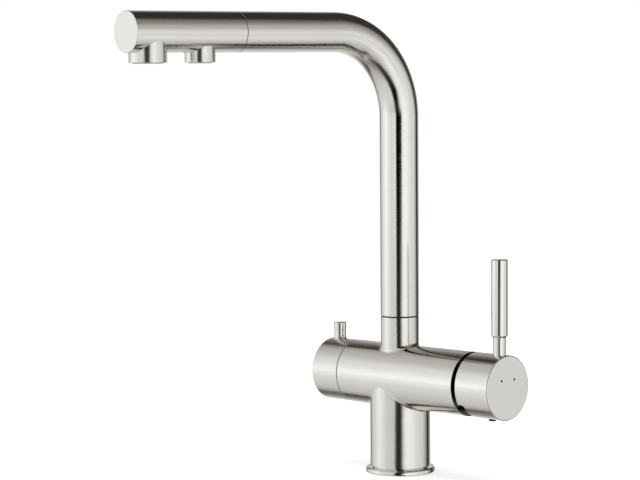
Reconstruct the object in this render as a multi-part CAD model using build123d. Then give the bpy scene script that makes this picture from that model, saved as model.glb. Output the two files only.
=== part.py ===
"""Three way filtered water tap: one column, a cross barrel and a swivelling L spout.

The right end of the barrel carries a lever cap on a ceramic mixing cartridge.  The left
end carries a knob on a quarter turn ceramic valve for the filtered water.  The two kinds
of water leave through two outlets under the spout head.

Frame: millimetres, +Z up, origin in the middle of the base's underside, +X along the
barrel to the mixer lever, -Y towards the person at the sink.
"""

from math import cos, pi, radians, sin, sqrt
import os

from build123d import *

os.makedirs("parts", exist_ok=True)

# ---------------------------------------------------------------- driving dimensions
# Clearances
seat_gap = 0.05            # radial clearance of a seated or screwed-in piece
running_gap = 0.06         # radial clearance of a turning or sliding fit
face_gap = 0.1             # axial clearance between faces that move past each other
ring_slack = 0.02          # an O-ring's clearance over its groove's floor

# Body casting
barrel_radius = 23.0
barrel_axis_height = 70.0
barrel_right_reach = 68.5  # column axis to the barrel's right end
barrel_left_reach = 42.0   # column axis to the barrel's left end
column_radius = 22.0
neck_radius = 14.0
neck_height = 20.4         # neck's top above the barrel's top
neck_fillet = 2.5
column_fillet = 2.0
barrel_edge_round = 0.4
passage_radius = 3.0       # drilled hot, cold and filtered water ways
link_radius = 2.25         # drilled way from the filter valve up to the neck

# Base ring and its gasket
base_radius = 25.25
base_height = 4.5
base_top_round = 1.5
base_foot_round = 0.9
base_ledge = 1.0           # thickness of the inner ledge that the column stands on
base_shadow_gap = 0.5
gasket_radius = 23.6
gasket_width = 2.4
gasket_thickness = 1.2

# Underside connections
recess_radius = 17.5
recess_depth = 25.0
column_spigot_radius = 20.4
inlet_radius = 4.5         # tapping bore of an M10x1 hose thread
inlet_depth = 12.0
inlet_spread = 7.5         # hot and cold inlets each side of the middle
inlet_right = 8.0
filter_inlet_left = 10.0
stud_radius = 3.4          # tapping bore of an M8 stud thread
stud_depth = 14.0
stud_spread = 12.0
stud_left = 3.0

# Spout
spout_radius = 14.0
spout_wall = 1.5
spout_axis_height = 319.0
spout_bend_radius = 61.0
spout_rest_turn = -7.0     # degrees about +Z, as photographed
neck_bore_step = 2.0       # riser's bore to the neck's smaller bore
glide_ring_height = 1.0
glide_ring_inset = 0.7

# Spout head, measured along the arm
head_tip_reach = 237.0     # from the riser's axis
head_length = 90.6
head_seam_gap = 0.5
head_wall = 2.4
head_end_round = 0.5
head_spigot_length = 12.0
outlet_drop = 6.6          # outlets' lower rims below the head's underside
outlet_rim_round = 0.6
main_outlet_inset = 17.5   # outlet's axis back from the head's tip
main_outlet_radius = 12.8
outlet_spacing = 42.7      # between the two outlets' axes
filter_outlet_radius = 10.4
outlet_wall = 2.6
main_stub_step = 2.2       # main outlet's radius to its stub's inside the head
filter_stub_step = 1.9     # filter outlet's radius to its stub's inside the head
boss_wall = 1.7            # wall of the boss that takes the filter outlet's stub
insert_proud = 0.6         # inserts stand out of the rims
insert_height = 5.0
insert_edge_round = 0.4
insert_rim = 1.0           # solid margin round the inserts' holes
insert_hole_radius = 1.0
main_hole_rings = 3
filter_hole_rings = 2
washer_height = 1.5
washer_width = 1.8

# Filtered water's inner tube and the swivel coupling
inner_tube_radius = 4.0
inner_tube_wall = 1.2
coupling_flange_height = 11.0
coupling_depth = 14.4      # coupling's body below the neck's top
coupling_nose_radius = 4.4
coupling_nose_length = 10.0
coupling_port_radius = 2.0
coupling_port_circle = 7.0
coupling_ports = 4
coupling_ring_margin = 2.2 # O-ring's middle to the end of the coupling's body
nose_ring_section = 0.6
nose_ring_rise = 4.0       # above the nose's lower end
neck_chamber = 3.0         # height of the mixing chamber under the coupling
o_ring_section = 1.0
lock_screw_radius = 2.0
lock_screw_depth = 5.0     # how far the spout's lock screw reaches in from the neck's skin
lock_screw_recess = 0.4
key_depth_share = 0.9      # hexagon socket's depth against the screw's radius

# Mixer: cartridge, nut and dome
cartridge_radius = 17.5
cartridge_length = 27.0    # seat face to shoulder
cartridge_inset = 37.5     # cartridge's seat back from the barrel's right end
cartridge_base_thickness = 4.0
cartridge_wall = 2.5
cartridge_neck_radius = 13.0
cartridge_neck_length = 11.0
cartridge_shoulder_thickness = 3.0
port_offset = 4.5          # hot and cold ports below the cartridge's axis
mixed_port_rise = 8.0
port_step = 0.2            # ports of the base and disc, smaller than the drilled ways
mixing_hollow_share = 0.7  # moving disc's hollow against the disc's diameter
guide_slot_trim = 1.5
stem_lead_in = 0.5
pin_press_gap = 0.02
disc_thickness = 4.0
fixed_disc_radius = 14.2
moving_disc_radius = 12.4
driver_thickness = 6.5
mouth_radius = 19.5
nut_length = 8.0
nut_slots = 4
nut_slot_width = 4.0
nut_slot_depth = 2.7
dome_radius = 19.0
dome_wall = 1.2
dome_hole_radius = 9.5
seal_radius = 4.6
seal_section = 1.6

# Mixer handle
handle_gap = 3.4           # open gap between barrel and cap
cap_length = 29.6
cap_wall = 2.5
cap_end_round = 0.5
cap_rear_round = 0.4
cap_floor_gap = 0.5        # dome to the cap's floor
cap_relief_drop = 12.4     # relief starts this far below the barrel's axis
cap_relief_depth = 5.0
cap_relief_round = 1.5
pivot_inset = 5.5          # tilt pivot back from the barrel's right end
pivot_pin_radius = 1.5
stem_width = 8.0
stem_end_margin = 7.0      # stem stops this far inside the cap's end face
lever_arm = 17.0           # pivot to the ball end that moves the disc
ball_radius = 2.0
tilt_degrees = 13.0
lever_inset = 7.7          # lever axis back from the cap's end face
lever_radius = 5.85
lever_neck_radius = 4.5
lever_neck_length = 12.1
lever_shoulder = 1.5
lever_height = 67.0        # lever's top above the cap
lever_top_round = 0.8
lever_thread_radius = 3.0
lever_thread_length = 9.0
thread_runout = 0.5        # tapped holes run deeper than their threads
plug_inset = 14.0          # grub screw's axis back from the end face
plug_radius = 2.85
plug_proud = 1.5
plug_length = 5.0
plug_round = 0.9
grub_radius = 2.4
dot_radius = 0.9
dot_depth = 0.5
dot_spread = 6.8
dot_rise = 5.7

# Filter side: quarter turn valve and knob
knob_gap = 0.6
knob_radius = 22.75
knob_length = 24.9
knob_wall = 3.2
knob_end_wall = 3.5
knob_end_round = 0.5
knob_rear_round = 0.4
knob_hub_radius = 7.5
knob_hub_clearance = 1.0   # hub to the headwork's hexagon
boss_overlap = 0.5         # pin boss runs into the hub and the skin
pin_inset = 7.7            # pin axis back from the knob's end face
pin_top_radius = 4.65
pin_root_radius = 4.3
pin_foot_radius = 5.2
pin_foot_height = 1.2
pin_foot_sink = 0.4        # flare starts this far inside the knob's skin
pin_height = 12.2
pin_top_round = 0.6
pin_thread_radius = 2.5
valve_inset = 22.0         # valve's seat back from the barrel's left end
valve_radius = 10.4
valve_body_length = 16.0
valve_seal_thickness = 2.0
valve_seal_radius = 8.6
valve_bore_radius = 8.2
valve_disc_thickness = 3.0
valve_flange_radius = 12.5
valve_flange_thickness = 2.0
valve_hex_flats = 17.0
valve_hex_length = 5.5
valve_window_width = 8.0
valve_window_length = 4.5
valve_window_step = 1.5
chamber_radius = 12.2
chamber_margin = 1.0       # chamber beyond the windows at each end
quarter_port_rim = 1.5     # quarter turn ports to the disc's edge
quarter_port_web = 1.2
left_mouth_radius = 14.2
spindle_radius = 4.0
spindle_flat = 3.0         # spindle axis to its flat
spindle_collar_radius = 7.9
knob_screw_radius = 2.0
knob_screw_proud = 1.5     # screw's head beyond the hub

# ---------------------------------------------------------------- worked-out places
barrel_top = barrel_axis_height + barrel_radius
neck_top = barrel_top + neck_height
spout_foot = neck_top + glide_ring_height
spout_bore = spout_radius - spout_wall
neck_bore_radius = spout_bore - neck_bore_step
coupling_radius = neck_bore_radius - running_gap
coupling_bottom = neck_top - coupling_depth
neck_floor = coupling_bottom - neck_chamber
nose_bottom = coupling_bottom - coupling_nose_length
nose_bore_radius = coupling_nose_radius + running_gap
column_foot = base_ledge
column_shoulder = base_height + base_shadow_gap
inlet_top = recess_depth + inlet_depth
hot_cold_port_height = barrel_axis_height - port_offset
mixed_port_height = barrel_axis_height + mixed_port_rise
cartridge_seat_reach = barrel_right_reach - cartridge_inset
shoulder_reach = cartridge_seat_reach + cartridge_length
nut_face_reach = shoulder_reach + nut_length
cap_rear_reach = barrel_right_reach + handle_gap
cap_end_reach = cap_rear_reach + cap_length
lever_reach = cap_end_reach - lever_inset
plug_reach = cap_end_reach - plug_inset
pivot_reach = barrel_right_reach - pivot_inset
cap_floor_reach = pivot_reach + dome_radius + cap_floor_gap
stem_end_reach = cap_end_reach - stem_end_margin
knob_rear_reach = barrel_left_reach + knob_gap
knob_end_reach = knob_rear_reach + knob_length
pin_reach = knob_end_reach - pin_inset
valve_seat_reach = barrel_left_reach - valve_inset
valve_front_reach = valve_seat_reach + valve_body_length
knob_hub_start = valve_front_reach + valve_flange_thickness + valve_hex_length + knob_hub_clearance
chamber_start = valve_seat_reach + valve_seal_thickness + chamber_margin
chamber_length = valve_window_length + 2 * chamber_margin
lock_screw_height = neck_top - coupling_depth / 2
disc_stroke = lever_arm * radians(tilt_degrees)
head_seam_reach = head_tip_reach - head_length
head_start = head_seam_reach + head_seam_gap / 2
tube_end = head_seam_reach - head_seam_gap / 2
main_outlet_reach = head_tip_reach - main_outlet_inset
filter_outlet_reach = main_outlet_reach - outlet_spacing
head_bore = spout_radius - head_wall
outlet_rim_drop = spout_radius + outlet_drop
insert_drop = outlet_rim_drop + insert_proud
outlet_ledge = insert_height + washer_height - insert_drop
main_stub_radius = main_outlet_radius - main_stub_step
filter_stub_radius = filter_outlet_radius - filter_stub_step
guide_neck_radius = cartridge_neck_radius - cartridge_wall

STAND = (Align.CENTER, Align.CENTER, Align.MIN)
# Local +Z of each workplane runs along the piece: barrel to the right, barrel to the
# left, and arm outwards with the spout straight ahead.
RIGHT = Plane((0, 0, barrel_axis_height), x_dir=(0, 1, 0), z_dir=(1, 0, 0))
LEFT = Plane((0, 0, barrel_axis_height), x_dir=(0, -1, 0), z_dir=(-1, 0, 0))
ARM = Plane((0, 0, spout_axis_height), x_dir=(1, 0, 0), z_dir=(0, -1, 0))
SWIVEL = Rotation(0, 0, spout_rest_turn)


# ---------------------------------------------------------------- shared shapes
def rod(radius, start, end):
    """Solid cylinder on local Z from start to end."""
    return Pos(0, 0, start) * Cylinder(radius, end - start, align=STAND)


def pipe(outer, inner, start, end):
    """Straight tube on local Z from start to end."""
    return rod(outer, start, end) - rod(inner, start, end)


def round_rim(shape, radius, height, rounding):
    """Rounds a circular edge of one radius at one local height."""
    return fillet(rim_edges(shape, radius, height), rounding)


def turned(*points):
    """Solid of revolution about Z from (radius, height) points."""
    outline = make_face(Polyline(*[(r, 0, h) for r, h in points], close=True))
    return revolve(outline, Axis.Z)


def o_ring(floor_radius, height, section=o_ring_section):
    """Round-section ring that lies in a groove of the given floor radius."""
    return Pos(0, 0, height) * Torus(floor_radius + section + ring_slack, section)


def groove(outer, floor_radius, height, section=o_ring_section):
    """Material to cut away for an O-ring groove round a shaft."""
    half = section + 2 * seat_gap
    return pipe(outer + 1, floor_radius, height - half, height + half)


def rim_edges(shape, radius, height):
    """Circular edges of one radius that lie at one local height."""
    def on_rim(edge):
        box = edge.bounding_box()
        level = abs(box.min.Z - height) < 1e-4 and abs(box.max.Z - height) < 1e-4
        return level and abs(edge.radius - radius) < 1e-4

    circles = shape.edges().filter_by(GeomType.CIRCLE)
    return [edge for edge in circles if on_rim(edge)]


def drilling(start, end, radius):
    """Round hole along the line between two points."""
    line = Vector(*end) - Vector(*start)
    return Plane(start, z_dir=line) * Cylinder(radius, line.length, align=STAND)


def socket_screw(radius, start, end, key_flats):
    """Headless screw on local Z with a hexagon socket in its outer (end) face."""
    key_radius = key_flats / sqrt(3)
    key = Pos(0, 0, end) * extrude(RegularPolygon(key_radius, 6), -radius * key_depth_share)
    return rod(radius, start, end) - key


# ---------------------------------------------------------------- body
def body_casting():
    """One casting: barrel, column and neck blended together, with its drilled ways."""
    barrel = rod(barrel_radius, -barrel_left_reach, barrel_right_reach)
    for end in (-barrel_left_reach, barrel_right_reach):
        barrel = round_rim(barrel, barrel_radius, end, barrel_edge_round)
    column = rod(column_radius, column_shoulder, barrel_axis_height)
    neck = rod(neck_radius, barrel_axis_height, neck_top)
    body = RIGHT * barrel + column + neck
    saddles = [edge for edge in body.edges() if edge.geom_type == GeomType.BSPLINE]
    upper = [edge for edge in saddles if edge.center().Z > barrel_axis_height]
    lower = [edge for edge in saddles if edge.center().Z < barrel_axis_height]
    body = fillet(upper, neck_fillet)
    lower = [edge for edge in body.edges() if any(edge.center() == old.center() for old in lower)]
    body = fillet(lower, column_fillet)
    body = body + rod(column_spigot_radius, column_foot, column_shoulder)
    return body - mixer_cavity() - valve_cavity() - swivel_bore() - underside() - water_ways()


def mixer_cavity():
    """Pocket for the cartridge and the wider mouth for its nut."""
    pocket = rod(cartridge_radius + running_gap, cartridge_seat_reach, shoulder_reach)
    mouth = rod(mouth_radius, shoulder_reach, barrel_right_reach + 1)
    return RIGHT * (pocket + mouth)


def valve_cavity():
    """Pocket, outlet chamber and mouth for the quarter turn valve."""
    pocket = rod(valve_radius + seat_gap, valve_seat_reach, valve_front_reach)
    chamber = rod(chamber_radius, chamber_start, chamber_start + chamber_length)
    mouth = rod(left_mouth_radius, valve_front_reach, barrel_left_reach + 1)
    return LEFT * (pocket + chamber + mouth)


def swivel_bore():
    """Bore for the swivel coupling, its nose and the lock screw in the neck's back."""
    bore = rod(neck_bore_radius, neck_floor, neck_top + 1)
    nose = rod(nose_bore_radius, nose_bottom - face_gap, neck_floor)
    back = Plane((0, 0, lock_screw_height), z_dir=(0, 1, 0))
    return bore + nose + back * rod(lock_screw_radius + seat_gap, 0, neck_radius + 1)


def underside():
    """Recess under the column with the threaded inlets and stud holes in its ceiling."""
    cut = rod(recess_radius, 0, recess_depth)
    for x, y in inlet_places():
        cut = cut + Pos(x, y, 0) * rod(inlet_radius, recess_depth - 1, inlet_top)
    for side in (-1, 1):
        hole = rod(stud_radius, recess_depth - 1, recess_depth + stud_depth)
        cut = cut + Pos(-stud_left, side * stud_spread, 0) * hole
    return cut


def inlet_places():
    """Plan positions of the hot, cold and filtered water inlets."""
    hot = (inlet_right, -inlet_spread)
    cold = (inlet_right, inlet_spread)
    return [hot, cold, (-filter_inlet_left, 0)]


def water_ways():
    """Drilled ways between the inlets, the two valves and the neck."""
    hot, cold, filtered = inlet_places()
    ways = []
    for x, y in (hot, cold):
        ways.append(drilling((x, y, inlet_top - 1), (x, y, hot_cold_port_height), passage_radius))
        port = (cartridge_seat_reach + 1, y, hot_cold_port_height)
        ways.append(drilling((x, y, hot_cold_port_height), port, passage_radius))
    mixed_corner = (coupling_port_circle, 0, mixed_port_height)
    mixed_port = (cartridge_seat_reach + 1, 0, mixed_port_height)
    mixed_radius = neck_bore_radius - coupling_port_circle - seat_gap
    mixed_radius = min(passage_radius, mixed_radius)
    ways.append(drilling(mixed_port, mixed_corner, mixed_radius))
    ways.append(drilling(mixed_corner, (coupling_port_circle, 0, neck_floor + 1), mixed_radius))
    riser = (filtered[0], filtered[1], inlet_top - 1)
    elbow = (filtered[0], filtered[1], barrel_axis_height)
    ways.append(drilling(riser, elbow, passage_radius))
    ways.append(drilling(elbow, (-valve_seat_reach - 1, 0, barrel_axis_height), passage_radius))
    chamber_middle = chamber_start + chamber_length / 2
    chamber_top = (-chamber_middle, 0, barrel_axis_height + chamber_radius - 1)
    nose_foot = (0, 0, nose_bottom + 1)
    ways.append(drilling(nose_foot, chamber_top, link_radius))
    cut = ways[0]
    for way in ways[1:]:
        cut = cut + way
    return cut


def base_ring():
    """Polished ring under the column, with a ledge inside and a groove for the gasket."""
    ring = rod(base_radius, 0, base_height)
    ring = round_rim(ring, base_radius, base_height, base_top_round)
    ring = round_rim(ring, base_radius, 0, base_foot_round)
    ring = ring - rod(column_spigot_radius + seat_gap, base_ledge, base_height)
    ring = ring - rod(recess_radius, 0, base_ledge)
    seat = pipe(
        gasket_radius + seat_gap,
        gasket_radius - gasket_width - seat_gap,
        0,
        gasket_thickness,
    )
    return ring - seat


def base_gasket():
    """Flat rubber ring that lies flush in the base ring's underside."""
    return pipe(gasket_radius, gasket_radius - gasket_width, 0, gasket_thickness)


# ---------------------------------------------------------------- spout
def arm_path(start_height, reach):
    """Riser, quarter bend and arm as one line, with the spout straight ahead."""
    return FilletPolyline(
        (0, 0, start_height),
        (0, 0, spout_axis_height),
        (0, -reach, spout_axis_height),
        radius=spout_bend_radius,
    )


def swept_pipe(outer, inner, start_height, reach):
    """Bent tube along the riser and the arm."""
    path = arm_path(start_height, reach)
    foot = Plane((0, 0, start_height))
    wall = foot * (Circle(outer) - Circle(inner))
    return sweep(wall, path=path)


def spout_tube():
    """Bent riser and arm of the spout."""
    return SWIVEL * swept_pipe(spout_radius, spout_bore, spout_foot, tube_end)


def inner_tube():
    """Tube inside the spout that keeps the filtered water apart."""
    start = neck_top - face_gap
    end = filter_outlet_reach - filter_stub_radius - boss_wall / 2
    bore = inner_tube_radius - inner_tube_wall
    return SWIVEL * swept_pipe(inner_tube_radius, bore, start, end)


def swivel_coupling():
    """Brass piece in the riser's foot that turns in the neck and carries both waters."""
    body = turned(
        (0, nose_bottom),
        (coupling_nose_radius, nose_bottom),
        (coupling_nose_radius, coupling_bottom),
        (coupling_radius, coupling_bottom),
        (coupling_radius, spout_foot),
        (spout_bore - seat_gap, spout_foot),
        (spout_bore - seat_gap, spout_foot + coupling_flange_height),
        (0, spout_foot + coupling_flange_height),
    )
    for height in coupling_ring_heights():
        body = body - groove(coupling_radius, coupling_groove_floor(), height)
    body = body - groove(coupling_nose_radius, nose_groove_floor(), nose_ring_height())
    lock_half = lock_screw_radius + 2 * face_gap
    body = body - pipe(
        coupling_radius + 1,
        neck_radius - lock_screw_depth - 2 * face_gap,
        lock_screw_height - lock_half,
        lock_screw_height + lock_half,
    )
    top = spout_foot + coupling_flange_height + 1
    body = body - rod(inner_tube_radius + seat_gap, neck_top - face_gap, top)
    body = body - rod(nose_groove_floor() - 1, nose_bottom - 1, neck_top)
    port = rod(coupling_port_radius, coupling_bottom - 1, top)
    for place in port_places():
        body = body - place * port
    return SWIVEL * body


def port_places():
    """Places of the four ports round the filtered water's tube."""
    angles = [2 * pi * (number + 0.5) / coupling_ports for number in range(coupling_ports)]
    return [Pos(coupling_port_circle * cos(angle), coupling_port_circle * sin(angle), 0) for angle in angles]


def coupling_groove_floor():
    """Floor radius of the coupling's two O-ring grooves."""
    return coupling_radius - 2 * o_ring_section


def nose_groove_floor():
    """Floor radius of the O-ring groove in the coupling's nose."""
    return coupling_nose_radius - 2 * nose_ring_section


def coupling_ring_heights():
    """Heights of the two O-rings, one each side of the lock screw."""
    step = coupling_depth / 2 - coupling_ring_margin
    return (lock_screw_height - step, lock_screw_height + step)


def nose_ring_height():
    """Height of the O-ring on the coupling's nose."""
    return nose_bottom + nose_ring_rise


def coupling_o_rings():
    """The three O-rings of the coupling, one solid each."""
    rings = [o_ring(coupling_groove_floor(), height) for height in coupling_ring_heights()]
    rings.append(o_ring(nose_groove_floor(), nose_ring_height(), nose_ring_section))
    return Compound(children=rings)


def glide_ring():
    """Black plastic ring between the neck and the riser, set back as a dark line."""
    outer = neck_radius - glide_ring_inset
    return pipe(outer, neck_bore_radius + seat_gap, neck_top, spout_foot - face_gap)


def lock_screw():
    """Headless screw in the neck's back whose tip runs in the coupling's groove."""
    back = Plane((0, 0, lock_screw_height), z_dir=(0, 1, 0))
    return back * socket_screw(
        lock_screw_radius,
        neck_radius - lock_screw_depth,
        neck_radius - lock_screw_recess,
        lock_screw_radius,
    )


def head_plane(reach):
    """Local frame at an outlet: +Z up the outlet's axis, origin on the arm's axis."""
    return Plane((0, -reach, spout_axis_height))


def spout_head():
    """Twin outlet head: spigot, hollow body, inner boss and the two outlet holes."""
    shell = rod(spout_radius, head_start, head_tip_reach)
    shell = round_rim(shell, spout_radius, head_tip_reach, head_end_round)
    shell = shell + rod(spout_bore - seat_gap, tube_end - head_spigot_length, head_start)
    shell = ARM * (shell - groove(spout_bore, head_groove_floor(), head_ring_reach()))
    cavity = ARM * rod(head_bore, head_start + head_wall, head_tip_reach - head_wall)
    boss_radius = filter_stub_radius + boss_wall
    boss_top = inner_tube_radius + 3 * boss_wall
    boss = head_plane(filter_outlet_reach) * rod(boss_radius, -spout_radius, boss_top)
    boss = boss & (ARM * rod(head_bore, head_start, head_tip_reach))
    head = (shell - cavity) + boss
    stub_top = boss_top - boss_wall
    head = head - head_plane(filter_outlet_reach) * rod(
        filter_stub_radius + seat_gap,
        -spout_radius - 1,
        stub_top,
    )
    head = head - head_plane(main_outlet_reach) * rod(
        main_stub_radius + seat_gap,
        -spout_radius - 1,
        -spout_radius / 2,
    )
    tube_hole = ARM * rod(
        inner_tube_radius + seat_gap,
        tube_end - head_spigot_length - 1,
        filter_outlet_reach,
    )
    head = head - tube_hole
    port = rod(coupling_port_radius, tube_end - head_spigot_length - 1, head_start + head_wall + 1)
    for place in port_places():
        head = head - ARM * (place * port)
    return SWIVEL * head


def head_groove_floor():
    """Floor radius of the head spigot's O-ring groove."""
    return spout_bore - seat_gap - 2 * o_ring_section


def head_ring_reach():
    """Place of the head's O-ring along the arm."""
    return tube_end - head_spigot_length / 2


def head_o_ring():
    """O-ring between the head's spigot and the arm's bore."""
    return SWIVEL * (ARM * o_ring(head_groove_floor(), head_ring_reach()))


def outlet_housing(reach, radius, stub_radius, stub_top):
    """Plain sleeve under the head, saddled to it, with a stub inside the head."""
    bottom = -outlet_rim_drop
    sleeve = rod(radius, bottom, 0)
    sleeve = round_rim(sleeve, radius, bottom, outlet_rim_round)
    sleeve = head_plane(reach) * sleeve
    sleeve = sleeve - ARM * rod(spout_radius + seat_gap / 2, reach - 2 * radius, reach + 2 * radius)
    stub = head_plane(reach) * rod(stub_radius, bottom + outlet_wall, stub_top)
    bore = rod(outlet_bore(radius), bottom - 1, outlet_ledge)
    throat = rod(stub_radius - outlet_wall / 2, bottom, stub_top + 1)
    return SWIVEL * (sleeve + stub - head_plane(reach) * (bore + throat))


def outlet_bore(radius):
    """Bore of an outlet for its insert."""
    return radius - outlet_wall


def outlet_insert(reach, radius, rings):
    """Round flow straightener with rings of holes through it."""
    disc_radius = outlet_bore(radius) - seat_gap
    disc = rod(disc_radius, -insert_drop, insert_height - insert_drop)
    disc = round_rim(disc, disc_radius, -insert_drop, insert_edge_round)
    step = (disc_radius - insert_rim - insert_hole_radius) / rings
    hole = rod(insert_hole_radius, -insert_drop - 1, insert_height - insert_drop + 1)
    cut = hole
    for ring in range(1, rings + 1):
        for number in range(6 * ring):
            angle = 2 * pi * number / (6 * ring)
            place = Pos(ring * step * cos(angle), ring * step * sin(angle), 0)
            cut = cut + place * hole
    return SWIVEL * (head_plane(reach) * (disc - cut))


def outlet_washer(reach, radius):
    """Rubber washer above an insert."""
    outer = outlet_bore(radius) - seat_gap
    washer = pipe(outer, outer - washer_width, outlet_ledge - washer_height, outlet_ledge)
    return SWIVEL * (head_plane(reach) * washer)


# ---------------------------------------------------------------- mixing cartridge
def cartridge_ports(radius, start, end, shift=0.0):
    """Hot, cold and mixed ports through a cartridge piece."""
    places = [(-inlet_spread, -port_offset), (inlet_spread, -port_offset), (0, mixed_port_rise)]
    cut = Pos(places[0][0], places[0][1] + shift, 0) * rod(radius, start, end)
    for across, up in places[1:]:
        cut = cut + Pos(across, up + shift, 0) * rod(radius, start, end)
    return cut


def cartridge_base():
    """Plastic base of the cartridge, with a seal pocket round each port."""
    start = cartridge_seat_reach + face_gap
    end = cartridge_seat_reach + cartridge_base_thickness
    base = rod(cartridge_radius - cartridge_wall - seat_gap, start, end)
    base = base - cartridge_ports(passage_radius - port_step, start - 1, end + 1)
    return RIGHT * (base - cartridge_ports(seal_radius + seat_gap, start - 1, start + seal_section))


def cartridge_seals():
    """Three rubber rings between the cartridge's base and its seat."""
    start = cartridge_seat_reach
    end = start + face_gap + seal_section
    outer = cartridge_ports(seal_radius, start, end)
    return RIGHT * (outer - cartridge_ports(passage_radius, start - 1, end + 1))


def cartridge_housing():
    """Cartridge's cup: skirt, shoulder and neck."""
    inner = cartridge_radius - cartridge_wall
    start = cartridge_seat_reach + face_gap
    shoulder_under = shoulder_reach - cartridge_shoulder_thickness
    neck_end = shoulder_reach + cartridge_neck_length
    cup = rod(cartridge_radius, start, shoulder_reach)
    cup = cup + rod(cartridge_neck_radius, shoulder_reach, neck_end)
    cup = cup - rod(inner, start - 1, shoulder_under)
    return RIGHT * (cup - rod(guide_neck_radius + running_gap, start, neck_end + 1))


def fixed_disc():
    """Fixed ceramic disc on the cartridge's base."""
    start = cartridge_seat_reach + cartridge_base_thickness
    disc = rod(fixed_disc_radius, start, start + disc_thickness)
    return RIGHT * (disc - cartridge_ports(passage_radius - port_step, start - 1, start + disc_thickness + 1))


def disc_start():
    """Lower face of the moving disc along the barrel."""
    return cartridge_seat_reach + cartridge_base_thickness + disc_thickness + face_gap / 2


def disc_shift():
    """Local frame of the moving disc: it rests half a stroke below the axis."""
    return RIGHT * Pos(0, -disc_stroke / 2, 0)


def moving_disc():
    """Moving ceramic disc with the mixing hollow in its lower face."""
    start = disc_start()
    disc = rod(moving_disc_radius, start, start + disc_thickness)
    width = moving_disc_radius * mixing_hollow_share
    hollow = extrude(SlotOverall(2 * width, width), disc_thickness / 2)
    return disc_shift() * (disc - Pos(0, 0, start) * hollow)


def disc_driver():
    """Plastic driver on the moving disc, with the socket for the lever's ball end."""
    start = disc_start() + disc_thickness
    driver = rod(moving_disc_radius, start, start + driver_thickness)
    width = 2 * (ball_radius + running_gap)
    depth = start + driver_thickness - (pivot_reach - lever_arm - ball_radius - face_gap)
    slot = Box(width, width, depth + 1, align=(Align.CENTER, Align.CENTER, Align.MAX))
    driver = driver - Pos(0, disc_stroke / 2, start + driver_thickness + 1) * slot
    return disc_shift() * driver


def guide_flange_start():
    """Lower face of the lever guide along the barrel."""
    return disc_start() + disc_thickness + driver_thickness + face_gap


def lever_guide():
    """Turning guide that holds the lever's pivot pin and a slot for the lever."""
    start = guide_flange_start()
    flange_end = shoulder_reach - cartridge_shoulder_thickness - face_gap
    neck_end = shoulder_reach + cartridge_neck_length - face_gap
    flange_radius = cartridge_radius - cartridge_wall - running_gap
    guide = rod(flange_radius, start, flange_end) + rod(guide_neck_radius, flange_end, neck_end)
    width = stem_width + 2 * running_gap
    height = stem_width + 2 * (pivot_reach - start) * sin(radians(tilt_degrees)) - guide_slot_trim
    slot = Box(width, height, neck_end - start + 2, align=STAND)
    guide = guide - Pos(0, 0, start - 1) * slot
    return RIGHT * guide - pivot_hole(pivot_pin_radius + pin_press_gap)


def pivot_hole(radius):
    """Hole across the barrel for the pivot pin."""
    across = Plane((pivot_reach, 0, barrel_axis_height), z_dir=(0, 1, 0))
    return across * rod(radius, -barrel_radius, barrel_radius)


def pivot_pin():
    """Steel pin that the lever tilts on."""
    across = Plane((pivot_reach, 0, barrel_axis_height), z_dir=(0, 1, 0))
    half = sqrt(guide_neck_radius ** 2 - pivot_pin_radius ** 2) - face_gap
    return across * rod(pivot_pin_radius, -half, half)


def cartridge_lever():
    """Cartridge's lever: ball end, arm, pivot eye and the square stem."""
    eye_start = pivot_reach - stem_width / 2
    ball_reach = pivot_reach - lever_arm
    square = extrude(Rectangle(stem_width, stem_width), stem_end_reach - eye_start)
    stem = Pos(0, 0, eye_start) * square
    stem = chamfer(stem.faces().sort_by(Axis.Z)[-1].edges(), stem_lead_in)
    arm = rod(ball_radius / 2, ball_reach, eye_start)
    ball = Pos(0, 0, ball_reach) * Sphere(ball_radius)
    return RIGHT * (stem + arm + ball) - pivot_hole(pivot_pin_radius + running_gap)


def cartridge_nut():
    """Brass ring nut that holds the cartridge down, with slots for its key."""
    nut = pipe(
        mouth_radius - seat_gap,
        cartridge_neck_radius + 3 * seat_gap,
        shoulder_reach,
        nut_face_reach,
    )
    for number in range(nut_slots):
        slot = Box(nut_slot_width, nut_slot_width, nut_length, align=STAND)
        around = Rotation(0, 0, 360 / nut_slots * number)
        place = Pos(0, cartridge_neck_radius + nut_slot_width / 2, nut_face_reach - nut_slot_depth)
        nut = nut - around * (place * slot)
    return RIGHT * nut


def dome_ring():
    """Dome over the nut, round about the tilt pivot, so the cap swings over it."""
    hole_reach = sqrt(dome_radius ** 2 - dome_hole_radius ** 2)
    shell = Sphere(dome_radius) - Sphere(dome_radius - dome_wall)
    keep = rod(dome_radius + 1, nut_face_reach - pivot_reach, hole_reach)
    dome = shell & keep
    dome = dome - rod(dome_hole_radius, 0, dome_radius + 1)
    return RIGHT * (Pos(0, 0, pivot_reach) * dome)


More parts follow.
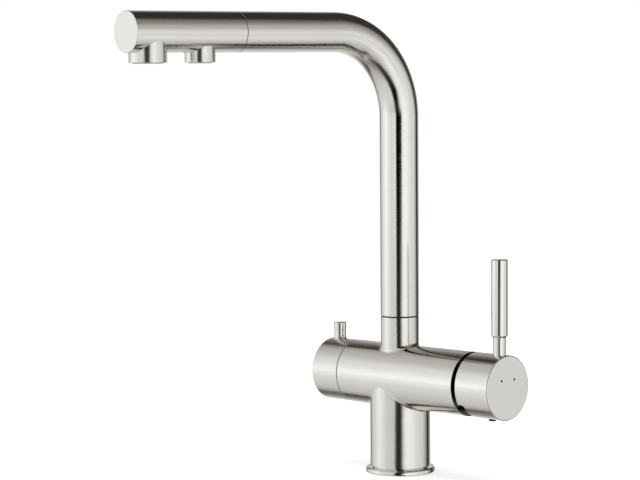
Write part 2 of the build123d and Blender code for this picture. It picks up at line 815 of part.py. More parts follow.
# ---------------------------------------------------------------- mixer handle
def handle_cap():
    """Lever cap: a deep cup over the dome, relieved below so that it can tilt."""
    cap = rod(barrel_radius, cap_rear_reach, cap_end_reach)
    cap = round_rim(cap, barrel_radius, cap_rear_reach, cap_rear_round)
    cap = round_rim(cap, barrel_radius, cap_end_reach, cap_end_round)
    cap = cap - rod(barrel_radius - cap_wall, cap_rear_reach - 1, cap_floor_reach)
    relief_height = barrel_radius - cap_relief_drop
    relief = Box(
        3 * barrel_radius,
        2 * relief_height,
        2 * cap_relief_depth,
    )
    relief = fillet(relief.edges().filter_by(Axis.X), cap_relief_round)
    cap = cap - Pos(0, -cap_relief_drop - relief_height, cap_rear_reach) * relief
    stem = stem_width + 2 * seat_gap
    stem_hole = Box(stem, stem, stem_end_reach + face_gap - cap_floor_reach + 1, align=STAND)
    cap = cap - Pos(0, 0, cap_floor_reach - 1) * stem_hole
    for side in (-1, 1):
        pocket = rod(dot_radius + seat_gap, cap_end_reach - dot_depth, cap_end_reach + 1)
        cap = cap - Pos(side * dot_spread, dot_rise, 0) * pocket
    cap = RIGHT * cap
    top = Plane((lever_reach, 0, barrel_axis_height))
    thread_end = barrel_radius - lever_thread_length - thread_runout
    thread = rod(lever_thread_radius + seat_gap, thread_end, barrel_radius + 1)
    cap = cap - top * thread
    screw_way = rod(grub_radius + seat_gap, 0, barrel_radius + 1)
    plug_way = rod(plug_radius + seat_gap, barrel_radius + plug_proud - plug_length, barrel_radius + 1)
    return cap - below(plug_reach) * (screw_way + plug_way)


def below(reach):
    """Local frame on the barrel's axis with +Z pointing straight down."""
    return Plane((reach, 0, barrel_axis_height), x_dir=(1, 0, 0), z_dir=(0, 0, -1))


def lever_pin():
    """Polished lever: thread, slim neck, shoulder and the long grip."""
    seat = Plane((lever_reach, 0, barrel_axis_height))
    shoulder_start = barrel_radius + lever_neck_length
    top = barrel_radius + lever_height
    grip = turned(
        (0, barrel_radius - lever_neck_radius),
        (lever_neck_radius, barrel_radius - lever_neck_radius),
        (lever_neck_radius, shoulder_start),
        (lever_radius, shoulder_start + lever_shoulder),
        (lever_radius, top),
        (0, top),
    )
    grip = round_rim(grip, lever_radius, top, lever_top_round)
    cap_skin = Plane((0, 0, 0), x_dir=(0, 1, 0), z_dir=(1, 0, 0)) * rod(
        barrel_radius + seat_gap / 2,
        -2 * lever_radius,
        2 * lever_radius,
    )
    grip = grip - cap_skin
    thread = rod(lever_thread_radius, barrel_radius - lever_thread_length, barrel_radius + 1)
    return seat * (grip + thread)


def grub_screw():
    """Screw that clamps the cap to the stem, under the plug."""
    tip = stem_width / 2
    end = barrel_radius + plug_proud - plug_length - face_gap
    return below(plug_reach) * socket_screw(grub_radius, tip, end, grub_radius)


def grub_plug():
    """Dark plug that closes the grub screw's hole and stands a little proud."""
    end = barrel_radius + plug_proud
    plug = rod(plug_radius, end - plug_length, end)
    return below(plug_reach) * round_rim(plug, plug_radius, end, plug_round)


def index_dot(side):
    """Small inlaid dot on the cap's end face."""
    dot = rod(dot_radius, cap_end_reach - dot_depth, cap_end_reach)
    return RIGHT * (Pos(side * dot_spread, dot_rise, 0) * dot)


# ---------------------------------------------------------------- filtered water valve
def valve_housing():
    """Brass headwork: threaded body with side windows, flange and hexagon."""
    start = valve_seat_reach + valve_seal_thickness
    flange_end = valve_front_reach + valve_flange_thickness
    body = rod(valve_radius, start, valve_front_reach)
    body = body + rod(valve_flange_radius, valve_front_reach, flange_end)
    hexagon = extrude(RegularPolygon(valve_hex_flats / sqrt(3), 6), valve_hex_length)
    body = body + Pos(0, 0, flange_end) * hexagon
    body = body - rod(valve_bore_radius, start - 1, valve_front_reach)
    body = body - rod(spindle_radius + running_gap, start, flange_end + valve_hex_length + 1)
    window = Box(valve_window_width, 4 * valve_radius, valve_window_length, align=STAND)
    return LEFT * (body - Pos(0, 0, start + valve_window_step) * window)


def valve_seal():
    """Rubber ring between the headwork and its seat in the body."""
    end = valve_seat_reach + valve_seal_thickness
    return LEFT * pipe(valve_seal_radius, passage_radius + 1, valve_seat_reach, end)


def half_round_port(radius, start, end, turned_by):
    """Two opposite quarter openings of a quarter turn disc."""
    wedge = rod(radius, start, end)
    keep = Box(radius, radius, end - start, align=(Align.MIN, Align.MIN, Align.MIN))
    port = wedge & (Pos(quarter_port_web, quarter_port_web, start) * keep)
    pair = port + Rotation(0, 0, 180) * port
    return Rotation(0, 0, turned_by) * pair


def valve_fixed_disc():
    """Fixed ceramic disc of the quarter turn valve."""
    start = valve_seat_reach + valve_seal_thickness
    end = start + valve_disc_thickness
    disc = rod(valve_bore_radius - seat_gap, start, end)
    return LEFT * (disc - half_round_port(valve_bore_radius - quarter_port_rim, start - 1, end + 1, 0))


def valve_moving_disc():
    """Moving ceramic disc, a quarter turn from open at rest."""
    start = valve_seat_reach + valve_seal_thickness + valve_disc_thickness + face_gap / 2
    end = start + valve_disc_thickness
    disc = rod(valve_bore_radius - running_gap, start, end)
    return LEFT * (disc - half_round_port(valve_bore_radius - quarter_port_rim, start - 1, end + 1, 90))


def valve_spindle():
    """Spindle with the collar that drives the moving disc and a flat for the knob."""
    start = valve_seat_reach + valve_seal_thickness + 2 * valve_disc_thickness + face_gap / 2
    collar_end = valve_front_reach - face_gap
    end = knob_end_reach - knob_end_wall - face_gap
    spindle = rod(spindle_collar_radius, start, collar_end) + rod(spindle_radius, collar_end, end)
    flat_start = knob_hub_start
    flat = Box(4 * spindle_radius, spindle_radius, end - flat_start + 1, align=(Align.CENTER, Align.MAX, Align.MIN))
    return LEFT * (spindle - Pos(0, -spindle_flat, flat_start) * flat)


def filter_knob():
    """Knob: a cup that closes the barrel's left end, with a hub for the spindle."""
    knob = rod(knob_radius, knob_rear_reach, knob_end_reach)
    knob = round_rim(knob, knob_radius, knob_rear_reach, knob_rear_round)
    knob = round_rim(knob, knob_radius, knob_end_reach, knob_end_round)
    hollow = pipe(
        knob_radius - knob_wall,
        knob_hub_radius,
        knob_rear_reach - 1,
        knob_end_reach - knob_end_wall,
    )
    knob = knob - hollow - rod(knob_hub_radius + 1, knob_rear_reach - 1, knob_hub_start)
    socket_end = knob_end_reach - knob_end_wall
    socket = rod(spindle_radius + seat_gap, knob_hub_start - 1, socket_end)
    flat_face = -spindle_flat - seat_gap
    land = Box(4 * spindle_radius, spindle_radius, knob_length, align=(Align.CENTER, Align.MAX, Align.MIN))
    socket = socket - Pos(0, flat_face, knob_hub_start) * land
    knob = LEFT * (knob - socket)
    boss = Plane((-pin_reach, 0, barrel_axis_height)) * rod(
        pin_foot_radius,
        knob_hub_radius - boss_overlap,
        knob_radius - knob_wall + boss_overlap,
    )
    knob = knob + boss
    thread_end = knob_radius - 2 * knob_wall - thread_runout
    thread = rod(pin_thread_radius + seat_gap, thread_end, knob_radius + 1)
    knob = knob - Plane((-pin_reach, 0, barrel_axis_height)) * thread
    screw_way = rod(knob_screw_radius + seat_gap, spindle_flat, knob_radius + 1)
    return knob - below(-knob_screw_reach()) * screw_way


def knob_screw_reach():
    """Place of the knob's screw along the barrel."""
    return (knob_hub_start + knob_end_reach - knob_end_wall) / 2


def filter_pin():
    """Short polished pin on the knob, waisted above a small flared foot."""
    seat = Plane((-pin_reach, 0, barrel_axis_height))
    top = knob_radius + pin_height
    foot_top = knob_radius + pin_foot_height
    pin = turned(
        (0, knob_radius - pin_foot_height),
        (pin_foot_radius, knob_radius - pin_foot_height),
        (pin_foot_radius, knob_radius - pin_foot_sink),
        (pin_root_radius, foot_top),
        (pin_top_radius, top),
        (0, top),
    )
    pin = round_rim(pin, pin_top_radius, top, pin_top_round)
    knob_skin = Plane((0, 0, 0), x_dir=(0, 1, 0), z_dir=(1, 0, 0)) * rod(
        knob_radius + seat_gap / 2,
        -2 * pin_foot_radius,
        2 * pin_foot_radius,
    )
    pin = pin - knob_skin
    thread = rod(pin_thread_radius, knob_radius - 2 * knob_wall, knob_radius + 1)
    return seat * (pin + thread)


def knob_screw():
    """Screw that clamps the knob to the spindle's flat."""
    end = knob_hub_radius + knob_screw_proud
    return below(-knob_screw_reach()) * socket_screw(knob_screw_radius, spindle_flat, end, knob_screw_radius)


# ---------------------------------------------------------------- all the pieces
pieces = {
    "body_casting": body_casting(),
    "base_ring": base_ring(),
    "base_gasket": base_gasket(),
    "neck_glide_ring": glide_ring(),
    "spout_lock_screw": lock_screw(),
    "cartridge_base": cartridge_base(),
    "cartridge_seals": cartridge_seals(),
    "cartridge_housing": cartridge_housing(),
    "cartridge_fixed_disc": fixed_disc(),
    "cartridge_nut": cartridge_nut(),
    "dome_ring": dome_ring(),
    "valve_housing": valve_housing(),
    "valve_seal": valve_seal(),
    "valve_fixed_disc": valve_fixed_disc(),
    "spout_tube": spout_tube(),
    "spout_head": spout_head(),
    "head_o_ring": head_o_ring(),
    "filter_inner_tube": inner_tube(),
    "swivel_coupling": swivel_coupling(),
    "coupling_o_rings": SWIVEL * coupling_o_rings(),
    "main_outlet_housing": outlet_housing(
        main_outlet_reach, main_outlet_radius, main_stub_radius, -spout_radius / 2 - 1
    ),
    "main_outlet_insert": outlet_insert(main_outlet_reach, main_outlet_radius, main_hole_rings),
    "main_outlet_washer": outlet_washer(main_outlet_reach, main_outlet_radius),
    "filter_outlet_housing": outlet_housing(
        filter_outlet_reach, filter_outlet_radius, filter_stub_radius, -inner_tube_radius - 1
    ),
    "filter_outlet_insert": outlet_insert(filter_outlet_reach, filter_outlet_radius, filter_hole_rings),
    "filter_outlet_washer": outlet_washer(filter_outlet_reach, filter_outlet_radius),
    "lever_guide": lever_guide(),
    "lever_pivot_pin": pivot_pin(),
    "cartridge_moving_disc": moving_disc(),
    "cartridge_disc_driver": disc_driver(),
    "handle_cap": handle_cap(),
    "lever_pin": lever_pin(),
    "cartridge_lever": cartridge_lever(),
    "handle_grub_screw": grub_screw(),
    "handle_screw_plug": grub_plug(),
    "hot_index_dot": index_dot(-1),
    "cold_index_dot": index_dot(1),
    "filter_knob": filter_knob(),
    "filter_pin": filter_pin(),
    "valve_spindle": valve_spindle(),
    "valve_moving_disc": valve_moving_disc(),
    "filter_knob_screw": knob_screw(),
}

for name, piece in pieces.items():
    export_step(piece, "parts/" + name + ".step")
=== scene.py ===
from functools import cache
from math import atan2, cos, hypot, pi, radians, sin

import bpy
from mathutils import Matrix, Vector


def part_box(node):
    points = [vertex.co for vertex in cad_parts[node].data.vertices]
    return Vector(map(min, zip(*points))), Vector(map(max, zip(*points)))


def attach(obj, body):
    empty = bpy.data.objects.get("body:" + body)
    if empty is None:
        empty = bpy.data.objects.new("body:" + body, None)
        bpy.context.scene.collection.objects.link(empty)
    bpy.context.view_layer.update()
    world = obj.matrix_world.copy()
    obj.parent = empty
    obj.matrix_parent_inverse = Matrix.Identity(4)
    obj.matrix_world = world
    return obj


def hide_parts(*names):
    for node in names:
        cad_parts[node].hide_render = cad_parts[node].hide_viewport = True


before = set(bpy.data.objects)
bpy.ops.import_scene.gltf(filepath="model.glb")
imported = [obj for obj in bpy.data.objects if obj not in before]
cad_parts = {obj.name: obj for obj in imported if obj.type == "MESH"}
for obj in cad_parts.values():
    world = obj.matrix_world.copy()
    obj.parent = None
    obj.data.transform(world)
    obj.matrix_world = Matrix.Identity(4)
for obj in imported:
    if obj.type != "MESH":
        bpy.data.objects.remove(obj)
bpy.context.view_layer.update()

bl_info = {
    "name": "Three way filtered water tap",
    "version": (1, 0, 0),
    "blender": (4, 5, 0),
    "location": "3D View > Sidebar > Tap",
    "description": "Models and finishes the tap's outer pieces around its construction",
    "category": "Add Mesh",
}

MM = 0.001
TURN_STEPS = 144           # facets round a turned piece
PLUG_STEPS = 48            # facets round the small screw plug
BEND_STEPS = 60            # rings along the spout's quarter bend
ROUND_STEPS = 6            # facets of a rounded corner in an outline
EDGE_STEPS = 3             # facets of a bevelled edge
TENT_STEPS = 48            # rings of the light tent, which has twice as many segments
SMOOTH_ANGLE = radians(40)
MERGE_DISTANCE = 0.001 * MM
FIT = 0.05 * MM            # clearance round a seated piece
OVERSHOOT = 10 * MM        # how far a cutter runs on past the skin
SENSOR_WIDTH = 36          # the camera's, in millimetres
CLIP_START, CLIP_END = 0.05, 100

OUTLETS = ("main_outlet_housing", "filter_outlet_housing")

# The mix node's sockets go by number, since several share a name.
FACTOR, VECTOR_A, VECTOR_B, COLOUR_A, COLOUR_B = 0, 4, 5, 6, 7
MIXED_VECTOR, MIXED_COLOUR = 1, 2


# ---------------- sizes and colours
def linear(code):
    """Linear RGBA of an sRGB colour written as a hex code."""
    channels = [int(code[i:i + 2], 16) / 255 for i in (1, 3, 5)]
    return [c / 12.92 if c <= 0.04045 else ((c + 0.055) / 1.055) ** 2.4 for c in channels] + [1]


def number(description, value, **settings):
    """A number property."""
    return bpy.props.FloatProperty(description=description, default=value, **settings)


def size(description, millimetres):
    """A length property, given in millimetres."""
    return number(description, millimetres * MM, min=0, unit="LENGTH", precision=5)


def angle(description, degrees):
    """An angle property, given in degrees."""
    return number(description, radians(degrees), subtype="ANGLE")


def share(description, value):
    """A plain number from 0 to 1."""
    return number(description, value, min=0, max=1, subtype="FACTOR")


def colour(description, code):
    """A colour property, given as a hex code."""
    return bpy.props.FloatVectorProperty(
        description=description, default=linear(code), size=4, subtype="COLOR", min=0, max=1
    )


class TapSizes(bpy.types.PropertyGroup):
    """Sizes of the pieces that are modelled here; the rest comes from the frame's boxes."""

    barrel_radius: size("Radius of the barrel and the lever cap", 23)
    spout_radius: size("Outer radius of the bent tube and the head", 14)
    spout_wall: size("Wall of the bent tube", 1.5)
    bend_radius: size("Radius of the spout's bend on its middle line", 61)
    spout_turn: angle("Turn of the spout about its riser, from straight ahead", -7)
    edge_round: size("Soft edge that the brushing leaves on every corner", 0.4)
    fine_round: size("Soft edge of the small polished pieces", 0.25)
    base_opening: size("Radius of the hole through the base ring", 17.5)
    base_ledge_radius: size("Radius of the column's seat in the base ring", 20.45)
    base_top_round: size("Round of the base ring's upper edge", 1.5)
    base_seam: size("Dark gap left open between the base ring and the column", 0.6)
    base_foot_round: size("Round of the base ring's lower edge", 0.9)
    gasket_width: size("Width of the gasket under the base ring", 2.4)
    glide_ring_width: size("Wall of the black ring on the neck", 2.75)
    glide_ring_round: size("Soft edge of the black ring", 0.2)
    head_wall: size("Wall of the hollow head", 2.4)
    head_seam: size("Gap between the tube and the head", 0.6)
    seam_round: size("Soft edge on both sides of the head's seam", 0.12)
    head_spigot: size("Length of the head's spigot inside the tube", 12)
    head_round: size("Round of the head's end face", 0.5)
    head_core: size("Radius of the inner tube's way through the spigot", 4)
    head_groove_width: size("Width of the spigot's O-ring groove", 2.2)
    head_groove_depth: size("Depth of the spigot's O-ring groove", 2)
    outlet_wall: size("Wall of the outlet sleeves", 2.6)
    outlet_rim_round: size("Round of the outlet sleeves' lower edge", 0.6)
    outlet_ledge: size("Width of the ledge that the washer bears on", 1.6)
    cap_wall: size("Wall of the lever cap", 2.5)
    cap_floor_gap: size("Room between the dome and the cap's floor", 3.05)
    cap_round: size("Round of the cap's and the knob's end faces", 1.0)
    cap_relief_drop: size("Depth of the notch's top edge below the barrel's axis", 12.4)
    cap_relief_depth: size("Length of the notch along the barrel", 5)
    cap_relief_round: size("Round of the notch's inner corner", 1.5)
    lever_neck_radius: size("Radius of the slim neck under the grip", 4.5)
    lever_neck_length: size("Length of the neck above the cap", 12.1)
    lever_shoulder: size("Height of the cone between neck and grip", 1.5)
    lever_neck_round: size("Round where the neck meets the cone", 0.4)
    lever_grip_round: size("Round of the grip's lower edge", 0.6)
    lever_round: size("Round of the lever's top edge", 0.8)
    plug_round: share("Round of the screw plug's edge, by its radius", 0.35)
    knob_wall: size("Wall of the filter knob", 3.2)
    knob_end_wall: size("Thickness of the knob's end face", 3.5)
    pin_root_radius: size("Radius of the short pin above its foot", 4.3)
    pin_top_radius: size("Radius of the short pin at its top", 4.65)
    pin_foot_height: size("Height of the short pin's flared foot", 1.2)
    pin_foot_round: size("Soft edge of the flared foot", 0.2)
    pin_waist_round: size("Round between the foot and the pin", 0.9)
    pin_top_round: size("Round of the short pin's top edge", 0.6)


class TapFinishes(bpy.types.PropertyGroup):
    """Colours and gloss of the materials."""

    brushed: colour("Satin plated and brushed metal", "#E3E1DB")
    polished: colour("Bright plated metal of the pins and the base ring", "#E6E4DF")
    # Painted shade: the colour that darkens the barrel's end faces in the gaps beside the cap and
    # the knob.
    painted_gap_shade: colour("Dull dark metal in the gaps beside the cap and the knob", "#55534F")
    # Painted shade: the dome and the nut under the cap take this dark plate so that the gap reads
    # as the shaded hollow.
    painted_hollow_shade: colour("Dark plate of the dome under the cap", "#2C2B29")
    brass: colour("Machined brass inside", "#D9B36C")
    steel: colour("Machined steel inside", "#C9C8C4")
    ceramic: colour("Ground alumina discs", "#EDE9DF")
    rubber: colour("Black EPDM rubber", "#1A1A1B")
    black_plastic: colour("Moulded black acetal", "#18181A")
    cartridge_plastic: colour("Moulded grey cartridge shell", "#9FA3A6")
    insert_plastic: colour("Moulded pale flow insert", "#D4D6D4")
    dot: colour("Matt black paint in the index dots", "#0C0C0C")
    satin: share("Roughness of the brushed metal", 0.12)
    hand: share("Roughness of the outlet sleeves and the knob", 0.22)
    bright: share("Roughness of the polished metal", 0.035)
    dark: share("Roughness of the dome's dark plate", 0.25)
    stretch: share("How far the brushing stretches a highlight", 0.85)


class TapStudio(bpy.types.PropertyGroup):
    """Camera and light."""

    azimuth: angle("Camera's direction, from straight ahead towards the lever", 44.03)
    elevation: angle("Camera's height above the horizon", 4.45)
    roll: angle("Camera's roll", -0.4)
    distance: size("Camera to the point it looks at", 1699.88)
    aim_height: size("Height of the point in the middle of the picture", 169.33)
    aim_shift: number(
        "How far the aimed point lies to the right of the column's axis", -57.58 * MM,
        unit="LENGTH", precision=5,
    )
    lens: number("Focal length on a 36 mm sensor", 131.9, min=1, subtype="DISTANCE_CAMERA")
    tent_radius: size("Radius of the light tent that the metal mirrors", 3000)
    tent_strength: number("Brightness of the tent's lit cloth, where 1 is white", 1.25, min=0)
    board_side: size("Side of the white board under the tap", 12000)
    board: colour("White paint of the board", "#F4F4F4")
    board_glow: share("Glow that lifts the board to the background's white", 0.42)
    fill: share("Strength of the soft light from all sides", 0.65)
    lamp_width: size("Width of the round softbox overhead", 1600)
    lamp_power: number("Power of the softbox", 14, min=0, unit="POWER")
    lamp_place: bpy.props.FloatVectorProperty(
        description="Where the softbox hangs", default=(0.2, -0.3, 1.8), subtype="TRANSLATION"
    )


def sizes():
    return bpy.context.scene.tap_sizes


def finishes():
    return bpy.context.scene.tap_finishes


def studio():
    return bpy.context.scene.tap_studio


# ---------------- places from the frame
@cache
def box_low(name):
    """Lowest corner of a node of the frame."""
    return Vector(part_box(name)[0])


@cache
def box_high(name):
    """Highest corner of a node of the frame."""
    return Vector(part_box(name)[1])


def box_middle(name):
    """Middle of a node of the frame."""
    return (box_low(name) + box_high(name)) / 2


def span(name, axis):
    """Lowest and highest place of a node along an axis."""
    return getattr(box_low(name), axis), getattr(box_high(name), axis)


def half_width(name):
    """Half of a node's width along X: the radius of an upright round one."""
    return (box_high(name).x - box_low(name).x) / 2


def barrel_axis():
    """Height of the barrel's axis: the middle of the knob on its end."""
    return box_middle("filter_knob").z


def arm_axis():
    """Height of the spout arm's axis."""
    return box_high("spout_tube").z - sizes().spout_radius


def along_x(direction, height, y=0):
    """Place of a piece turned about a line along X, local Z pointing to +X or -X."""
    return Matrix.Translation((0, y, height)) @ Matrix.Rotation(direction * pi / 2, 4, "Y")


def along_arm():
    """Place of a piece turned about the arm's axis, local Z pointing outwards."""
    swivel = Matrix.Rotation(sizes().spout_turn, 4, "Z")
    return swivel @ Matrix.Translation((0, 0, arm_axis())) @ Matrix.Rotation(pi / 2, 4, "X")


def upright(x=0, y=0, z=0):
    """Place of a piece turned about a vertical axis."""
    return Matrix.Translation((x, y, z))


# ---------------- modelling
def switch(mode):
    """Switches between edit mode and object mode."""
    bpy.ops.object.mode_set(mode=mode)


def fresh():
    """Leaves edit mode and selects nothing."""
    if bpy.context.mode != "OBJECT":
        switch("OBJECT")
    bpy.ops.object.select_all(action="DESELECT")


def only(piece):
    """Makes one piece selected and active in object mode."""
    fresh()
    piece.select_set(True)
    bpy.context.view_layer.objects.active = piece


def added(kind, **settings):
    """Adds a primitive mesh."""
    fresh()
    getattr(bpy.ops.mesh, f"primitive_{kind}_add")(**settings)
    return bpy.context.object


def apply_modifier(piece, kind, **settings):
    """Adds a modifier with its settings and applies it."""
    only(piece)
    modifier = piece.modifiers.new(kind.lower(), kind)
    for key, value in settings.items():
        setattr(modifier, key, value)
    bpy.ops.object.modifier_apply(modifier=modifier.name)


def set_in_place(piece, place):
    """Moves a piece to its place and applies the move, so its origin stays at the frame's."""
    only(piece)
    piece.matrix_world = place @ piece.matrix_world
    bpy.ops.object.transform_apply()


def close_up(piece):
    """Merges seams and poles and turns every face outwards."""
    only(piece)
    switch("EDIT")
    bpy.ops.mesh.select_all(action="SELECT")
    bpy.ops.mesh.remove_doubles(threshold=MERGE_DISTANCE)
    bpy.ops.mesh.normals_make_consistent()
    switch("OBJECT")


def extrude(move):
    """Draws the selection on by a move, in edit mode."""
    bpy.ops.mesh.extrude_region_move(TRANSFORM_OT_translate={"value": move})


def turned(name, outline, place, steps=TURN_STEPS):
    """Spins a closed outline of (radius, height) points about local Z, then sets it in place."""
    piece = added("plane", size=MM)
    piece.name = name
    piece.data.name = name
    switch("EDIT")
    bpy.ops.mesh.merge(type="CENTER")
    start = Vector((outline[0][0], 0, outline[0][1]))
    bpy.ops.transform.translate(value=start)
    here = start
    for radius, height in outline[1:]:
        there = Vector((radius, 0, height))
        extrude(there - here)
        here = there
    if outline[0][0] > 0 or outline[-1][0] > 0:
        extrude(start - here)
    bpy.ops.mesh.select_all(action="SELECT")
    bpy.ops.mesh.spin(steps=steps, angle=2 * pi, center=(0, 0, 0), axis=(0, 0, 1))
    close_up(piece)
    set_in_place(piece, place)
    return piece


def rounded(corner, before, after, radius):
    """Points of a round corner between two neighbours in an outline."""
    corner, before, after = Vector(corner), Vector(before), Vector(after)
    back = (before - corner).normalized()
    on = (after - corner).normalized()
    half = back.angle(on) / 2
    reach = radius * cos(half) / sin(half)
    middle = corner + (back + on).normalized() * (radius / sin(half))
    arm = corner + back * reach - middle
    sweep = arm.angle_signed(corner + on * reach - middle)
    points = []
    for step in range(ROUND_STEPS + 1):
        turn = Matrix.Rotation(-sweep * step / ROUND_STEPS, 2)
        points.append(tuple(middle + turn @ arm))
    return points


def soften(outline, radii):
    """Rounds the outline's corners by the radii given for their indices."""
    points = []
    for index, corner in enumerate(outline):
        if radii.get(index):
            after = outline[(index + 1) % len(outline)]
            points += rounded(corner, outline[index - 1], after, radii[index])
        else:
            points.append(corner)
    return points


def cut(piece, cutter):
    """Cuts one piece with another, which is used up."""
    apply_modifier(piece, "BOOLEAN", operation="DIFFERENCE", object=cutter, solver="EXACT")
    bpy.data.objects.remove(cutter)


def plain_rod(radius, low, high, place):
    """A cutter: a straight rod along local Z."""
    middle = (0, 0, (low + high) / 2)
    rod = added(
        "cylinder", vertices=TURN_STEPS, radius=radius, depth=high - low, location=middle
    )
    set_in_place(rod, place)
    return rod


def round_edges(piece, radius):
    """Rounds a piece's hard corners with a bevel."""
    apply_modifier(
        piece, "BEVEL", width=radius, segments=EDGE_STEPS, limit_method="ANGLE",
        angle_limit=SMOOTH_ANGLE,
    )


def smooth(piece):
    """Smooth shading that keeps flat faces flat and hard corners hard."""
    only(piece)
    bpy.ops.object.shade_smooth_by_angle(angle=SMOOTH_ANGLE)
    apply_modifier(piece, "WEIGHTED_NORMAL", mode="FACE_AREA", keep_sharp=True)


def mark_brushing(piece, unbend, axis):
    """Stores what the brushed finish follows: unbent lathe coordinates and the lathe's axis."""
    mesh = piece.data
    lathe = mesh.attributes.new("lathe", "FLOAT_VECTOR", "POINT")
    lay = mesh.attributes.new("lathe_axis", "FLOAT_VECTOR", "POINT")
    for vertex in mesh.vertices:
        lathe.data[vertex.index].vector = unbend(vertex.co)
        lay.data[vertex.index].vector = axis(vertex.co)


def finish_turned(piece, place, body, slot, *nodes, finish=None):
    """Shades a turned piece, marks its brushing, gives it its finish and body and hides the nodes
    it stands for.
    """
    smooth(piece)
    back = place.inverted()
    direction = place.to_3x3() @ Vector((0, 0, 1))
    mark_brushing(piece, lambda point: back @ point, lambda point: direction)
    settle(piece, body, slot, *nodes, finish=finish)


def settle(piece, body, slot, *nodes, finish=None):
    """Gives a piece its finish, named by its slot unless another is given, and its body, and hides
    the nodes that it stands for.
    """
    piece.data.materials.clear()
    piece.data.materials.append(finish_for(finish or slot))
    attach(piece, body)
    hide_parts(*nodes)


# ---------------- materials
def feed(made, inputs):
    """Sets a node's inputs: each takes a value or another node's output."""
    for key, value in inputs.items():
        if isinstance(value, bpy.types.NodeSocket):
            made.id_data.links.new(value, made.inputs[key])
        else:
            made.inputs[key].default_value = value


def node(tree, kind, inputs=None, **settings):
    """Adds a node with its settings and its inputs."""
    made = tree.nodes.new("ShaderNode" + kind)
    for key, value in settings.items():
        setattr(made, key, value)
    feed(made, inputs or {})
    return made


def material(name):
    """A new material, its node tree and its shader."""
    made = bpy.data.materials.new(name)
    made.use_nodes = True
    tree = made.node_tree
    return made, tree, tree.nodes["Principled BSDF"]


def brush(tree, shader, lathe, axis):
    """Brush lines round a lathe axis: fine ridges, uneven gloss and a stretched highlight."""
    # A real brush leaves lines about 0.05 mm apart, too fine for the picture, so they are
    # drawn 0.35 mm apart, under a slower unevenness of 3 mm where the wheel dwelt.
    line, dwell, reach = 0.35 * MM, 3 * MM, 40 * MM
    ridge_depth, ridge_strength = 0.01 * MM, 0.12
    uneven, calm, busy = 0.02, 0.3, 0.7
    ridges, patches = (
        node(tree, "TexNoise", {
            "Vector": node(tree, "VectorMath", {
                0: lathe, 1: (1 / reach, 1 / reach, 1 / spacing),
            }, operation="MULTIPLY").outputs[0],
            "Scale": 1.0,
            "Detail": detail,
            "Roughness": roughness,
        }).outputs[0]
        for spacing, detail, roughness in ((line, 2.0, 0.6), (dwell, 1.0, 0.5))
    )
    bump = node(tree, "Bump", {
        "Strength": ridge_strength, "Distance": ridge_depth, "Height": ridges,
    })
    gloss = node(tree, "MapRange", {
        "Value": patches, "From Min": calm, "From Max": busy, "To Min": finishes().satin - uneven,
        "To Max": finishes().satin + uneven,
    })
    # Light smears across the lines, so along the axis; the small tilt gives flat ends a lay too.
    tilt = (0.004, 0.003, 0.01)
    smear = node(tree, "VectorTransform", {
        0: node(tree, "VectorMath", {0: axis, 1: tilt}, operation="ADD").outputs[0],
    }, vector_type="VECTOR", convert_from="OBJECT", convert_to="WORLD")
    unit = node(tree, "VectorMath", {0: smear.outputs[0]}, operation="NORMALIZE")
    feed(shader, {
        "Normal": bump.outputs[0], "Roughness": gloss.outputs[0], "Tangent": unit.outputs[0],
        "Anisotropic": finishes().stretch,
    })


def metal(name, tint, roughness):
    """A new metal, its node tree and its shader; its IOR stays at the default."""
    made, tree, shader = material(name)
    feed(shader, {"Base Color": tint, "Metallic": 1.0, "Roughness": roughness})
    return made, tree, shader


def brushed_nickel():
    """Satin nickel on brass, brushed round each turned piece: soft bands, no sparkle."""
    made, tree, shader = metal("brushed_nickel_turned", finishes().brushed, finishes().satin)
    lathe = node(tree, "Attribute", attribute_name="lathe").outputs["Vector"]
    axis = node(tree, "Attribute", attribute_name="lathe_axis").outputs["Vector"]
    brush(tree, shader, lathe, axis)
    return made


def brushed_casting():
    """The same satin nickel on the casting, brushed round the barrel and round the column."""
    made, tree, shader = metal("brushed_nickel_casting", finishes().brushed, finishes().satin)
    blend_start, blend_end, face_step = 0.2 * MM, 2.5 * MM, 0.05 * MM
    place = node(tree, "TexCoord").outputs["Object"]
    from_axis = node(tree, "VectorMath", {
        0: place, 1: (0, 0, barrel_axis()),
    }, operation="SUBTRACT").outputs[0]
    across = node(tree, "VectorMath", {0: from_axis, 1: (0, 1, 1)}, operation="MULTIPLY")
    away = node(tree, "VectorMath", {0: across.outputs[0]}, operation="LENGTH")
    off_barrel = node(tree, "MapRange", {
        "Value": away.outputs["Value"], "From Min": sizes().barrel_radius + blend_start,
        "From Max": sizes().barrel_radius + blend_end,
    }, interpolation_type="SMOOTHSTEP").outputs[0]
    axis = node(tree, "Mix", {
        FACTOR: off_barrel, VECTOR_A: (1, 0, 0), VECTOR_B: (0, 0, 1),
    }, data_type="VECTOR").outputs[MIXED_VECTOR]
    along, y, z = node(tree, "SeparateXYZ", {0: from_axis}).outputs
    lathe = node(tree, "Mix", {
        FACTOR: off_barrel,
        VECTOR_A: node(tree, "CombineXYZ", {0: y, 1: z, 2: along}).outputs[0],
        VECTOR_B: from_axis,
    }, data_type="VECTOR").outputs[MIXED_VECTOR]
    brush(tree, shader, lathe, axis)
    # The barrel's end faces lie in the gaps beside the cap and the knob: their colour is darkened
    # there, a painted shade for the shaded gaps.
    right, left = (
        node(tree, "MapRange", {
            "Value": along, "From Min": end - 3 * step, "From Max": end - step,
        }).outputs[0]
        for end, step in (
            (box_high("body_casting").x, face_step),
            (box_low("body_casting").x, -face_step),
        )
    )
    # Mixes the painted gap shade into the brushed colour on the two end faces.
    tint = node(tree, "Mix", {
        FACTOR: node(tree, "Math", {0: right, 1: left}, operation="ADD").outputs[0],
        COLOUR_A: finishes().brushed,
        COLOUR_B: finishes().painted_gap_shade,
    }, data_type="RGBA")
    feed(shader, {"Base Color": tint.outputs[MIXED_COLOUR]})
    return made


